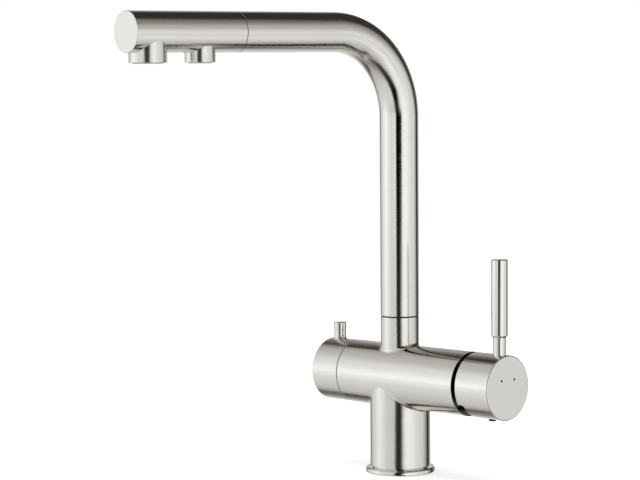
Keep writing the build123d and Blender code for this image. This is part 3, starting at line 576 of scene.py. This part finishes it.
def plated(name, tint, roughness, haze, cloud):
    """Nickel without brush lines; its roughness drifts by the haze from cloud to cloud."""
    made, tree, shader = metal(name, tint, roughness)
    clouds = node(tree, "TexNoise", {
        "Vector": node(tree, "TexCoord").outputs["Object"],
        "Scale": 1 / (cloud * MM),
        "Detail": 2.0,
    })
    gloss = node(tree, "MapRange", {
        "Value": clouds.outputs[0], "To Min": roughness - haze, "To Max": roughness + haze,
    })
    feed(shader, {"Roughness": gloss.outputs[0]})
    return made


def machined(name, tint, roughness, tool_mark):
    """Metal straight from the lathe: dull, with the fine marks of the tool."""
    made, tree, shader = metal(name, tint, roughness)
    mark_depth, mark_strength = 0.02 * MM, 0.2
    marks = node(tree, "TexNoise", {
        "Vector": node(tree, "TexCoord").outputs["Object"],
        "Scale": 1 / (tool_mark * MM),
        "Detail": 3.0,
    })
    bump = node(tree, "Bump", {
        "Strength": mark_strength, "Distance": mark_depth, "Height": marks.outputs[0],
    })
    feed(shader, {"Normal": bump.outputs[0]})
    return made


def moulded(name, tint, roughness, grain, depth, shine=0.5):
    """Plastic, rubber, ceramic or paint: one colour, slightly uneven, with a fine grain."""
    made, tree, shader = material(name)
    flow, darkest, pit_strength = 8 * MM, 0.88, 0.3
    place = node(tree, "TexCoord").outputs["Object"]
    flows = node(tree, "TexNoise", {"Vector": place, "Scale": 1 / flow})
    pits = node(tree, "TexNoise", {"Vector": place, "Scale": 1 / (grain * MM), "Detail": 2.0})
    shade = node(tree, "Mix", {
        FACTOR: flows.outputs[0], COLOUR_A: tint,
        COLOUR_B: [channel * darkest for channel in tint[:3]] + [1],
    }, data_type="RGBA")
    bump = node(tree, "Bump", {
        "Strength": pit_strength, "Distance": depth * MM, "Height": pits.outputs[0],
    })
    feed(shader, {
        "Base Color": shade.outputs[MIXED_COLOUR], "Roughness": roughness,
        "Specular IOR Level": shine, "Normal": bump.outputs[0],
    })
    return made


@cache
def finish_for(name):
    """A finish, made once: one of the record's slots, or one that single pieces have."""
    tint = finishes()
    makers = {
        "brushed_nickel": (brushed_nickel,),
        "brushed_casting": (brushed_casting,),
        # Material, colour, roughness, haze, and the clouds' width in mm.
        # Satin nickel brushed by hand on the sleeves and the knob: reflections go soft all ways.
        "hand_brushed": (plated, "brushed_nickel_by_hand", tint.brushed, tint.hand, 0.03, 1.5),
        # Bright plate, buffed to a mirror: sharp reflections with the faintest haze.
        "polished_nickel": (plated, "polished_nickel_plate", tint.polished, tint.bright, 0.01, 4),
        # Dark plate, a dark mirror, on the dome that the gap under the cap shows: painted shade for
        # the shaded hollow under the cap.
        "black_nickel": (plated, "black_nickel_plate", tint.painted_hollow_shade, tint.dark, 0.05, 3),
        # Material, colour, roughness and tool mark in mm.
        "brass": (machined, "machined_brass", tint.brass, 0.32, 0.4),
        "steel": (machined, "machined_stainless_steel", tint.steel, 0.28, 0.3),
        # Material, colour, roughness, grain and its depth in mm, and shine.
        "ceramic": (moulded, "ground_alumina", tint.ceramic, 0.2, 0.3, 0.005),
        "black_rubber": (moulded, "moulded_epdm_rubber", tint.rubber, 0.6, 0.25, 0.02),
        "black_plastic": (moulded, "moulded_black_acetal", tint.black_plastic, 0.4, 0.3, 0.01),
        "cartridge_plastic": (
            moulded, "moulded_grey_nylon", tint.cartridge_plastic, 0.45, 0.3, 0.01
        ),
        "insert_plastic": (moulded, "moulded_pale_acetal", tint.insert_plastic, 0.4, 0.3, 0.01),
        "hot_mark": (moulded, "hot_dot_paint", tint.dot, 0.6, 0.2, 0.005, 0.2),
        "cold_mark": (moulded, "cold_dot_paint", tint.dot, 0.6, 0.2, 0.005, 0.2),
    }
    maker, *values = makers[name]
    return maker(*values)


# ---------------- studio
def tent_wall(tree, turn, stops):
    """Brightness round the tent at one height, from (degrees from the lens, per cent) stops."""
    ramp = node(tree, "ValToRGB", {0: turn})
    elements = ramp.color_ramp.elements
    places = [(degrees / 360 + 0.5, percent / 100) for degrees, percent in stops]
    elements[0].position = places[0][0]
    elements[1].position = places[-1][0]
    for position, strength in places[1:-1]:
        elements.new(position)
    # The darker a stretch, the warmer: unlit cloth gives back less green and blue.
    green_loss, blue_loss = 0.08, 0.2
    for element, (position, strength) in zip(elements, places):
        unlit = (1 - strength) ** 3
        green, blue = strength * (1 - green_loss * unlit), strength * (1 - blue_loss * unlit)
        element.color = (strength, green, blue, 1)
    return ramp.outputs[0]


def tent_cloth():
    """Lit cloth walls with dark slots between them, seen only as reflections in the metal."""
    made = bpy.data.materials.new("light_tent_cloth")
    made.use_nodes = True
    made.cycles.emission_sampling = "NONE"
    tree = made.node_tree
    tree.nodes.clear()
    place = node(tree, "TexCoord").outputs["Object"]
    from_aim = node(tree, "VectorMath", {
        0: place, 1: (0, 0, studio().aim_height),
    }, operation="SUBTRACT")
    unit = node(tree, "VectorMath", {0: from_aim.outputs[0]}, operation="NORMALIZE")
    turn = node(tree, "Mapping", {
        "Vector": unit.outputs[0], "Rotation": (0, 0, pi / 2 - studio().azimuth),
    })
    x, y, z = node(tree, "SeparateXYZ", {0: turn.outputs[0]}).outputs
    height = node(tree, "Math", {0: z}, operation="ARCSINE").outputs[0]
    share_round = node(tree, "MapRange", {
        "Value": node(tree, "Math", {0: y, 1: x}, operation="ARCTAN2").outputs[0],
        "From Min": -pi,
        "From Max": pi,
    }).outputs[0]
    below = glow = None
    for level, stops in tent_walls.items():
        wall = tent_wall(tree, share_round, stops)
        if glow is None:
            glow = wall
        else:
            weight = node(tree, "MapRange", {
                "Value": height, "From Min": radians(below), "From Max": radians(level),
            }, interpolation_type="SMOOTHSTEP").outputs[0]
            glow = node(tree, "Mix", {
                FACTOR: weight, COLOUR_A: glow, COLOUR_B: wall,
            }, data_type="RGBA").outputs[MIXED_COLOUR]
        below = level
    light = node(tree, "Emission", {"Color": glow, "Strength": studio().tent_strength})
    node(tree, "OutputMaterial", {0: light.outputs[0]})
    return made


# The tent's walls by their height in degrees above the horizon. A stop is a pair: degrees to
# the right of the lens, and brightness in per cent.
tent_walls = {
    -78: (
        (-180, 26), (-95, 24), (-44, 21), (-8, 11), (10, 7), (30, 18), (90, 26), (180, 26),
    ),
    -62: (
        (-180, 50), (-163, 34), (-148, 22), (-139, 20), (-130, 34), (-105, 42), (-85, 46),
        (-60, 44), (-42, 40), (-31, 30), (-22, 14), (-10, 4), (12, 5), (20, 12), (27, 26),
        (35, 42), (60, 50), (75, 56), (97, 50), (109, 10), (113, 0), (140, 0), (153, 26),
        (180, 50),
    ),
    -46: (
        (-180, 52), (-173, 36), (-163, 22), (-155, 18), (-148, 12), (-143, 5), (-139, 6),
        (-133, 20), (-127, 42), (-117, 52), (-105, 56), (-85, 60), (-34, 62), (-27, 52), (-20, 19),
        (-13, 3), (7, 4), (12, 12), (17, 34), (23, 52), (30, 60), (80, 57), (89, 57), (97, 50),
        (104, 34), (109, 10), (113, 0), (140, 0), (145, 10), (153, 26), (162, 46), (180, 54),
    ),
    -24: (
        (-180, 64), (-163, 58), (-156, 30), (-150, 14), (-144, 16), (-137, 46), (-124, 56),
        (-111, 62), (-100, 66), (-87, 69), (-72, 70), (-50, 64), (-34, 70), (-27, 62), (-20, 20),
        (-15, 0), (3, 0), (8, 3), (13, 30), (18, 64), (26, 80), (40, 88), (56, 84), (70, 76),
        (81, 72), (92, 64), (106, 44), (118, 14), (123, 3), (132, 5), (148, 36), (180, 64),
    ),
    -10: (
        (-180, 64), (-163, 60), (-154, 36), (-150, 20), (-144, 20), (-137, 54), (-112, 69),
        (-100, 80), (-88, 86), (-54, 60), (-27, 52), (-20, 10), (-13, 3), (-5, 3), (1, 12),
        (5, 44), (10, 78), (18, 87), (30, 88), (48, 80), (60, 68), (77, 67), (84, 58), (90, 65),
        (96, 67), (100, 50), (106, 42), (118, 16), (124, 2), (132, 4), (148, 36), (180, 64),
    ),
    -2: (
        (-180, 52), (-152, 44), (-149, 14), (-142, 14), (-138, 54), (-126, 64), (-114, 75),
        (-104, 86), (-96, 92), (-83, 98), (-66, 82), (-54, 73), (-48, 69), (-36, 76), (-22.5, 76),
        (-17.5, 0), (11.5, 0), (14.5, 74), (24, 88), (36, 97), (48, 90), (61, 80), (72, 73),
        (80, 70), (88, 69), (96, 72), (102, 50), (112, 38), (117, 5), (133, 3), (145, 30),
        (180, 52),
    ),
    24: (
        (-180, 36), (-172, 24), (-160, 18), (-152, 12), (-149, 5), (-142, 5), (-137, 42),
        (-118, 58), (-100, 70), (-85, 75), (-60, 62), (-45, 56), (-22.5, 55), (-17.5, 0),
        (11.5, 0), (14.5, 45), (40, 52), (60, 47), (80, 44), (95, 33), (108, 26), (114, 4),
        (168, 4), (180, 30),
    ),
    46: (
        (-180, 13), (-172, 12), (-165, 8), (-160, 4), (-147, 4), (-142, 28), (-136, 36),
        (-127, 43), (-118, 46), (-106, 48), (-80, 52), (-45, 44), (-22.5, 38), (-17.5, 0),
        (11.5, 0), (14.5, 24), (60, 27), (80, 24), (91, 20), (97, 15), (104, 8), (110, 3),
        (180, 3),
    ),
}


def white_for_camera(tree, plain, white):
    """Mixes in white wherever the camera, a reflection or a transmission looks."""
    rays = node(tree, "LightPath").outputs
    seen = rays["Is Camera Ray"]
    for kind in ("Is Glossy Ray", "Is Transmission Ray"):
        both = node(tree, "Math", {0: seen, 1: rays[kind]}, operation="ADD", use_clamp=True)
        seen = both.outputs[0]
    return node(tree, "MixShader", {0: seen, 1: plain, 2: white}).outputs[0]


def floor_paint():
    """Matt white painted board: keeps the shadow and meets the white background unseen."""
    made, tree, shader = material("matt_white_board")
    feed(shader, {"Base Color": studio().board, "Roughness": 0.9, "Specular IOR Level": 0.0})
    glow = node(tree, "Emission", {"Strength": studio().board_glow})
    both = node(tree, "AddShader", {0: shader.outputs[0], 1: glow.outputs[0]})
    seen = white_for_camera(tree, shader.outputs[0], both.outputs[0])
    feed(tree.nodes["Material Output"], {0: seen})
    return made


def build_world():
    """White surroundings for the eye and the metal, and plain soft fill for the rest."""
    world = bpy.data.worlds.new("studio_world")
    bpy.context.scene.world = world
    world.use_nodes = True
    tree = world.node_tree
    tree.nodes.clear()
    fill, white = (
        node(tree, "Background", {"Color": (1, 1, 1, 1), "Strength": strength}).outputs[0]
        for strength in (studio().fill, 1.0)
    )
    seen = white_for_camera(tree, fill, white)
    node(tree, "OutputWorld", {0: seen})


def build_camera():
    """The camera at the fitted viewing angle."""
    view = studio()
    azimuth, elevation, roll = view.azimuth, view.elevation, view.roll
    back = Vector((sin(azimuth) * cos(elevation), -cos(azimuth) * cos(elevation), sin(elevation)))
    right = Vector((cos(azimuth), sin(azimuth), 0))
    up = back.cross(right)
    across = cos(roll) * right + sin(roll) * up
    upward = cos(roll) * up - sin(roll) * right
    aim = Vector((0, 0, view.aim_height)) + view.aim_shift * right
    data = bpy.data.cameras.new("photo_camera")
    data.sensor_width = SENSOR_WIDTH
    data.lens = view.lens
    data.clip_start = CLIP_START
    data.clip_end = CLIP_END
    camera = bpy.data.objects.new("photo_camera", data)
    bpy.context.scene.collection.objects.link(camera)
    turn = Matrix((across, upward, back)).transposed().to_4x4()
    camera.matrix_world = Matrix.Translation(aim + back * view.distance) @ turn
    bpy.context.scene.camera = camera


def hidden_from(stage_piece, *rays):
    """Switches off the kinds of ray that don't see a piece of the stage."""
    for ray in rays:
        setattr(stage_piece, "visible_" + ray, False)


# ---------------- operators
class Step:
    """What the operators share: build() does the work."""

    def execute(self, context):
        self.build()
        return {"FINISHED"}


class TapStage(Step, bpy.types.Operator):
    """Builds the floor, the light tent, the lamp, the world and the camera"""

    bl_idname = "tap.stage"
    bl_label = "Stage and camera"

    def build(self):
        view = studio()
        board = added("plane", size=view.board_side)
        board.name = "floor_board"
        board.data.materials.append(floor_paint())
        hidden_from(board, "glossy")
        tent = added(
            "uv_sphere", segments=2 * TENT_STEPS, ring_count=TENT_STEPS, radius=view.tent_radius,
            location=(0, 0, view.aim_height),
        )
        tent.name = "light_tent"
        bpy.ops.object.transform_apply()
        tent.data.materials.append(tent_cloth())
        hidden_from(tent, "camera", "diffuse", "transmission", "volume_scatter", "shadow")
        lamp = bpy.data.lights.new("top_softbox", "AREA")
        lamp.shape = "DISK"
        lamp.size = view.lamp_width
        lamp.energy = view.lamp_power
        holder = bpy.data.objects.new("top_softbox", lamp)
        holder.location = view.lamp_place
        bpy.context.scene.collection.objects.link(holder)
        hidden_from(holder, "camera", "glossy")
        build_world()
        build_camera()
        bpy.context.scene.view_settings.view_transform = "Standard"


class TapBase(Step, bpy.types.Operator):
    """Turns the polished base ring with its ledge and the groove for the gasket"""

    bl_idname = "tap.base"
    bl_label = "Base ring"

    def build(self):
        tap = sizes()
        rim, top = box_high("base_ring").x, box_high("base_ring").z - tap.base_seam
        ledge, way, seat = box_low("body_casting").z, tap.base_opening, tap.base_ledge_radius
        groove_outer = box_high("base_gasket").x + FIT
        groove_inner = groove_outer - tap.gasket_width - 2 * FIT
        groove_top = box_high("base_gasket").z
        outline = soften([
            (way, 0), (groove_inner, 0), (groove_inner, groove_top), (groove_outer, groove_top),
            (groove_outer, 0), (rim, 0), (rim, top), (seat, top - tap.base_seam), (seat, ledge),
            (way, ledge),
        ], {0: tap.fine_round, 5: tap.base_foot_round, 6: tap.base_top_round, 7: tap.fine_round})
        place = upright()
        ring = turned("base_ring_skin", outline, place)
        finish_turned(ring, place, "tap_body", "polished_nickel", "base_ring")


class TapGlideRing(Step, bpy.types.Operator):
    """Turns the black ring that sits back between the neck and the riser"""

    bl_idname = "tap.glide_ring"
    bl_label = "Glide ring"

    def build(self):
        low, high = span("neck_glide_ring", "z")
        outer = box_high("neck_glide_ring").x
        inner = outer - sizes().glide_ring_width
        outline = soften([
            (inner, low), (outer, low), (outer, high), (inner, high),
        ], {1: sizes().glide_ring_round, 2: sizes().glide_ring_round})
        place = upright()
        ring = turned("glide_ring_skin", outline, place)
        finish_turned(ring, place, "tap_body", "black_plastic", "neck_glide_ring")


class TapSpoutTube(Step, bpy.types.Operator):
    """Extrudes and spins the riser, the quarter bend and the arm of the spout"""

    bl_idname = "tap.spout_tube"
    bl_label = "Spout tube"

    def build(self):
        tap = sizes()
        bend, foot = tap.bend_radius, box_low("spout_tube").z
        bend_start = arm_axis() - bend
        tube = added(
            "circle", vertices=TURN_STEPS, radius=tap.spout_radius, location=(0, 0, foot)
        )
        tube.name = "spout_tube_skin"
        switch("EDIT")
        extrude((0, 0, bend_start - foot))
        bpy.ops.mesh.spin(
            steps=BEND_STEPS, angle=-pi / 2, center=(0, -bend, bend_start), axis=(1, 0, 0)
        )
        extrude((0, bend - tube_end(), 0))
        close_up(tube)
        apply_modifier(tube, "SOLIDIFY", thickness=tap.spout_wall, use_even_offset=True)
        round_edges(tube, tap.seam_round)
        swivel = Matrix.Rotation(tap.spout_turn, 4, "Z")
        set_in_place(tube, swivel)
        smooth(tube)
        back = swivel.inverted()
        mark_brushing(
            tube, lambda point: unbent(back @ point), lambda point: swivel @ path_axis(back @ point)
        )
        settle(tube, "spout", "brushed_nickel", "spout_tube")


def tube_end():
    """How far the bent tube reaches along the arm, up to the head's seam."""
    return reach_along_arm("spout_tube")


def head_tip():
    """How far the head's end face lies along the arm."""
    return reach_along_arm("spout_head")


def reach_along_arm(name):
    """Reach along the turned arm of a piece as thick as the tube, worked out from its box."""
    turn = sizes().spout_turn
    return (-box_low(name).y - sizes().spout_radius * abs(sin(turn))) / cos(turn)


def unbent(point):
    """Lathe coordinates of a point on the bent tube, as if the tube were straight."""
    bend, start = sizes().bend_radius, arm_axis() - sizes().bend_radius
    if point.z <= start:
        return point.copy()
    if -point.y >= bend:
        return Vector((point.x, point.z - arm_axis(), start + bend * pi / 2 - point.y - bend))
    out, up = point.y + bend, point.z - start
    return Vector((point.x, hypot(out, up) - bend, start + bend * atan2(up, out)))


def path_axis(point):
    """Direction of the bent tube's middle line at a point."""
    bend, start = sizes().bend_radius, arm_axis() - sizes().bend_radius
    if point.z <= start:
        return Vector((0, 0, 1))
    if -point.y >= bend:
        return Vector((0, -1, 0))
    turn = atan2(point.z - start, point.y + bend)
    return Vector((0, -sin(turn), cos(turn)))


class TapSpoutHead(Step, bpy.types.Operator):
    """Turns the twin outlet head with its spigot and opens its two water ways"""

    bl_idname = "tap.spout_head"
    bl_label = "Spout head"

    def build(self):
        tap = sizes()
        radius, wall, tip = tap.spout_radius, tap.head_wall, head_tip()
        bore = radius - tap.spout_wall - FIT
        start = tube_end() + tap.head_seam
        spigot = tube_end() - tap.head_spigot
        core = tap.head_core + FIT
        groove_floor = bore - tap.head_groove_depth
        groove_middle = (spigot + tube_end()) / 2
        groove_low = groove_middle - tap.head_groove_width / 2
        groove_high = groove_middle + tap.head_groove_width / 2
        outline = soften([
            (0, tip - wall), (radius - wall, tip - wall), (radius - wall, start + wall),
            (core, start + wall), (core, spigot), (bore, spigot), (bore, groove_low),
            (groove_floor, groove_low), (groove_floor, groove_high), (bore, groove_high),
            (bore, start), (radius, start), (radius, tip), (0, tip),
        ], {5: tap.edge_round, 11: tap.seam_round, 12: tap.head_round})
        head = turned("spout_head_skin", outline, along_arm())
        for name in OUTLETS:
            way = half_width(name) - tap.outlet_wall - tap.outlet_ledge
            cut(head, plain_rod(way, -radius - wall, -radius / 2, outlet_place(name)))
        finish_turned(head, along_arm(), "spout", "brushed_nickel", "spout_head")


def outlet_place(name):
    """Place of an outlet: on the arm's axis above the sleeve."""
    return upright(box_middle(name).x, box_middle(name).y, arm_axis())


class TapOutlets(Step, bpy.types.Operator):
    """Turns the two outlet sleeves and saddles them to the head"""

    bl_idname = "tap.outlets"
    bl_label = "Outlet sleeves"

    def build(self):
        tap = sizes()
        for name in OUTLETS:
            radius, rim = half_width(name), box_low(name).z - arm_axis()
            bore = radius - tap.outlet_wall
            way = bore - tap.outlet_ledge
            ledge = box_high(name.replace("housing", "washer")).z - arm_axis()
            outline = soften([
                (way, ledge), (bore, ledge), (bore, rim), (radius, rim),
                (radius, -tap.outlet_ledge), (way, -tap.outlet_ledge),
            ], {2: tap.edge_round, 3: tap.outlet_rim_round})
            place = outlet_place(name)
            sleeve = turned(name + "_skin", outline, place)
            arm = plain_rod(tap.spout_radius + FIT, tube_end(), head_tip() + OVERSHOOT, along_arm())
            cut(sleeve, arm)
            finish_turned(sleeve, place, "spout", "brushed_nickel", name, finish="hand_brushed")


class TapHandleCap(Step, bpy.types.Operator):
    """Turns the lever cap, relieves it below and drills it for the dots and the plug"""

    bl_idname = "tap.handle_cap"
    bl_label = "Lever cap"

    def build(self):
        tap = sizes()
        rear, end = span("handle_cap", "x")
        radius, floor = tap.barrel_radius, box_high("dome_ring").x + tap.cap_floor_gap
        outline = cup(radius, radius - tap.cap_wall, rear, floor, end)
        place = along_x(1, barrel_axis())
        cap = turned("handle_cap_skin", outline, place)
        cut(cap, relief_block(rear))
        for name in ("hot_index_dot", "cold_index_dot"):
            low, high, middle = box_low(name), box_high(name), box_middle(name)
            pocket = along_x(1, middle.z, middle.y)
            cut(cap, plain_rod((high.z - low.z) / 2 + FIT, low.x, high.x + OVERSHOOT, pocket))
        below, depth = barrel_axis() - radius - OVERSHOOT, box_high("handle_screw_plug").z
        hole = upright(box_middle("handle_screw_plug").x)
        cut(cap, plain_rod(half_width("handle_screw_plug") + FIT, below, depth, hole))
        finish_turned(cap, place, "mixer_handle", "brushed_nickel", "handle_cap")


def cup(radius, bore, rear, floor, end):
    """Outline of a round cup along the barrel, open at its rear and closed by an end face."""
    return soften([
        (0, floor), (bore, floor), (bore, rear), (radius, rear), (radius, end), (0, end),
    ], {2: sizes().fine_round, 3: sizes().edge_round, 4: sizes().cap_round})


def relief_block(rear):
    """A cutter for the notch under the cap's mouth, which lets the lever tilt."""
    radius, top = sizes().barrel_radius, barrel_axis() - sizes().cap_relief_drop
    block = added("cube", size=1, location=(rear, 0, top - radius / 2))
    block.scale = (2 * sizes().cap_relief_depth, 3 * radius, radius)
    bpy.ops.object.transform_apply()
    switch("EDIT")
    bpy.ops.mesh.select_all(action="DESELECT")
    switch("OBJECT")
    for edge in block.data.edges:
        ends = [block.data.vertices[index].co for index in edge.vertices]
        edge.select = abs(ends[0].y - ends[1].y) > radius
    switch("EDIT")
    bpy.ops.mesh.select_mode(type="EDGE")
    bpy.ops.mesh.bevel(offset=sizes().cap_relief_round, segments=ROUND_STEPS)
    bpy.ops.mesh.select_mode(type="VERT")
    switch("OBJECT")
    return block


class TapLever(Step, bpy.types.Operator):
    """Turns the polished lever with its slim neck and seats it on the cap's skin"""

    bl_idname = "tap.lever"
    bl_label = "Lever"

    def build(self):
        tap = sizes()
        middle, top = box_middle("lever_pin").x, box_high("lever_pin").z
        grip, neck = half_width("lever_pin"), tap.lever_neck_radius
        skin = barrel_axis() + tap.barrel_radius
        shoulder = skin + tap.lever_neck_length
        outline = soften([
            (0, skin - neck), (neck, skin - neck), (neck, shoulder),
            (grip, shoulder + tap.lever_shoulder), (grip, top), (0, top),
        ], {2: tap.lever_neck_round, 3: tap.lever_grip_round, 4: tap.lever_round})
        place = upright(middle)
        lever = turned("lever_skin", outline, place)
        # The foot is hollowed to the round skin that it stands on.
        low, high = middle - 2 * grip, middle + 2 * grip
        cut(lever, plain_rod(tap.barrel_radius, low, high, along_x(1, barrel_axis())))
        finish_turned(lever, place, "mixer_handle", "polished_nickel", "lever_pin")


class TapScrewPlug(Step, bpy.types.Operator):
    """Turns the dark plug that closes the clamping screw's hole under the cap"""

    bl_idname = "tap.screw_plug"
    bl_label = "Screw plug"

    def build(self):
        low, high = span("handle_screw_plug", "z")
        radius = half_width("handle_screw_plug")
        outline = soften([
            (0, low), (radius, low), (radius, high), (0, high),
        ], {1: radius * sizes().plug_round})
        place = upright(box_middle("handle_screw_plug").x)
        plug = turned("screw_plug_skin", outline, place, steps=PLUG_STEPS)
        finish_turned(plug, place, "mixer_handle", "black_plastic", "handle_screw_plug")


class TapFilterKnob(Step, bpy.types.Operator):
    """Turns the filtered water knob"""

    bl_idname = "tap.filter_knob"
    bl_label = "Filter knob"

    def build(self):
        rear, end = -box_high("filter_knob").x, -box_low("filter_knob").x
        radius, floor = box_high("filter_knob").y, end - sizes().knob_end_wall
        outline = cup(radius, radius - sizes().knob_wall, rear, floor, end)
        place = along_x(-1, barrel_axis())
        knob = turned("filter_knob_skin", outline, place)
        finish_turned(
            knob, place, "filter_handle", "brushed_nickel", "filter_knob", finish="hand_brushed"
        )


class TapFilterPin(Step, bpy.types.Operator):
    """Turns the short pin of the knob, waisted above a small flared foot"""

    bl_idname = "tap.filter_pin"
    bl_label = "Filter pin"

    def build(self):
        tap = sizes()
        foot, top = half_width("filter_pin"), box_high("filter_pin").z
        skin = barrel_axis() + box_high("filter_knob").y
        outline = soften([
            (0, skin - tap.pin_foot_height), (foot, skin - tap.pin_foot_height),
            (foot, skin - tap.pin_foot_round), (tap.pin_root_radius, skin + tap.pin_foot_height),
            (tap.pin_top_radius, top), (0, top),
        ], {2: tap.pin_foot_round, 3: tap.pin_waist_round, 4: tap.pin_top_round})
        place = upright(box_middle("filter_pin").x)
        pin = turned("filter_pin_skin", outline, place)
        finish_turned(pin, place, "filter_handle", "polished_nickel", "filter_pin")


class TapCarriedNodes(Step, bpy.types.Operator):
    """Gives its procedural finish to every construction node that still shows"""

    bl_idname = "tap.carried_nodes"
    bl_label = "Carried nodes"

    def build(self):
        # The dome and the nut under the cap take the dark plate: painted shade for the hollow that
        # the gap shows.
        own_finish = {
            "body_casting": "brushed_casting",
            "dome_ring": "black_nickel",
            "cartridge_nut": "black_nickel",
        }
        for name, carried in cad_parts.items():
            if carried.hide_render:
                continue
            slot = carried.data.materials[0].name.split(".")[0]
            for place in carried.material_slots:
                place.material = finish_for(own_finish.get(name, slot))


class TapPanel(bpy.types.Panel):
    """Lists the tap's pieces in the sidebar"""

    bl_idname = "VIEW3D_PT_tap"
    bl_label = "Water tap"
    bl_space_type = "VIEW_3D"
    bl_region_type = "UI"
    bl_category = "Tap"

    def draw(self, context):
        for operator in operators:
            self.layout.operator(operator.bl_idname)
        for group in (sizes(), finishes(), studio()):
            for name in group.bl_rna.properties.keys():
                if name not in ("rna_type", "name"):
                    self.layout.prop(group, name, text=name.replace("_", " ").capitalize())


operators = (
    TapStage, TapBase, TapGlideRing, TapSpoutTube, TapSpoutHead, TapOutlets, TapHandleCap,
    TapLever, TapScrewPlug, TapFilterKnob, TapFilterPin, TapCarriedNodes,
)
groups = {"tap_sizes": TapSizes, "tap_finishes": TapFinishes, "tap_studio": TapStudio}
classes = (*groups.values(), *operators, TapPanel)


def register():
    for made in classes:
        bpy.utils.register_class(made)
    for name, group in groups.items():
        setattr(bpy.types.Scene, name, bpy.props.PointerProperty(type=group))


def unregister():
    for name in groups:
        delattr(bpy.types.Scene, name)
    for made in reversed(classes):
        bpy.utils.unregister_class(made)


def main():
    register()
    for operator in operators:
        family, name = operator.bl_idname.split(".")
        getattr(getattr(bpy.ops, family), name)()


if __name__ == "__main__":
    main()
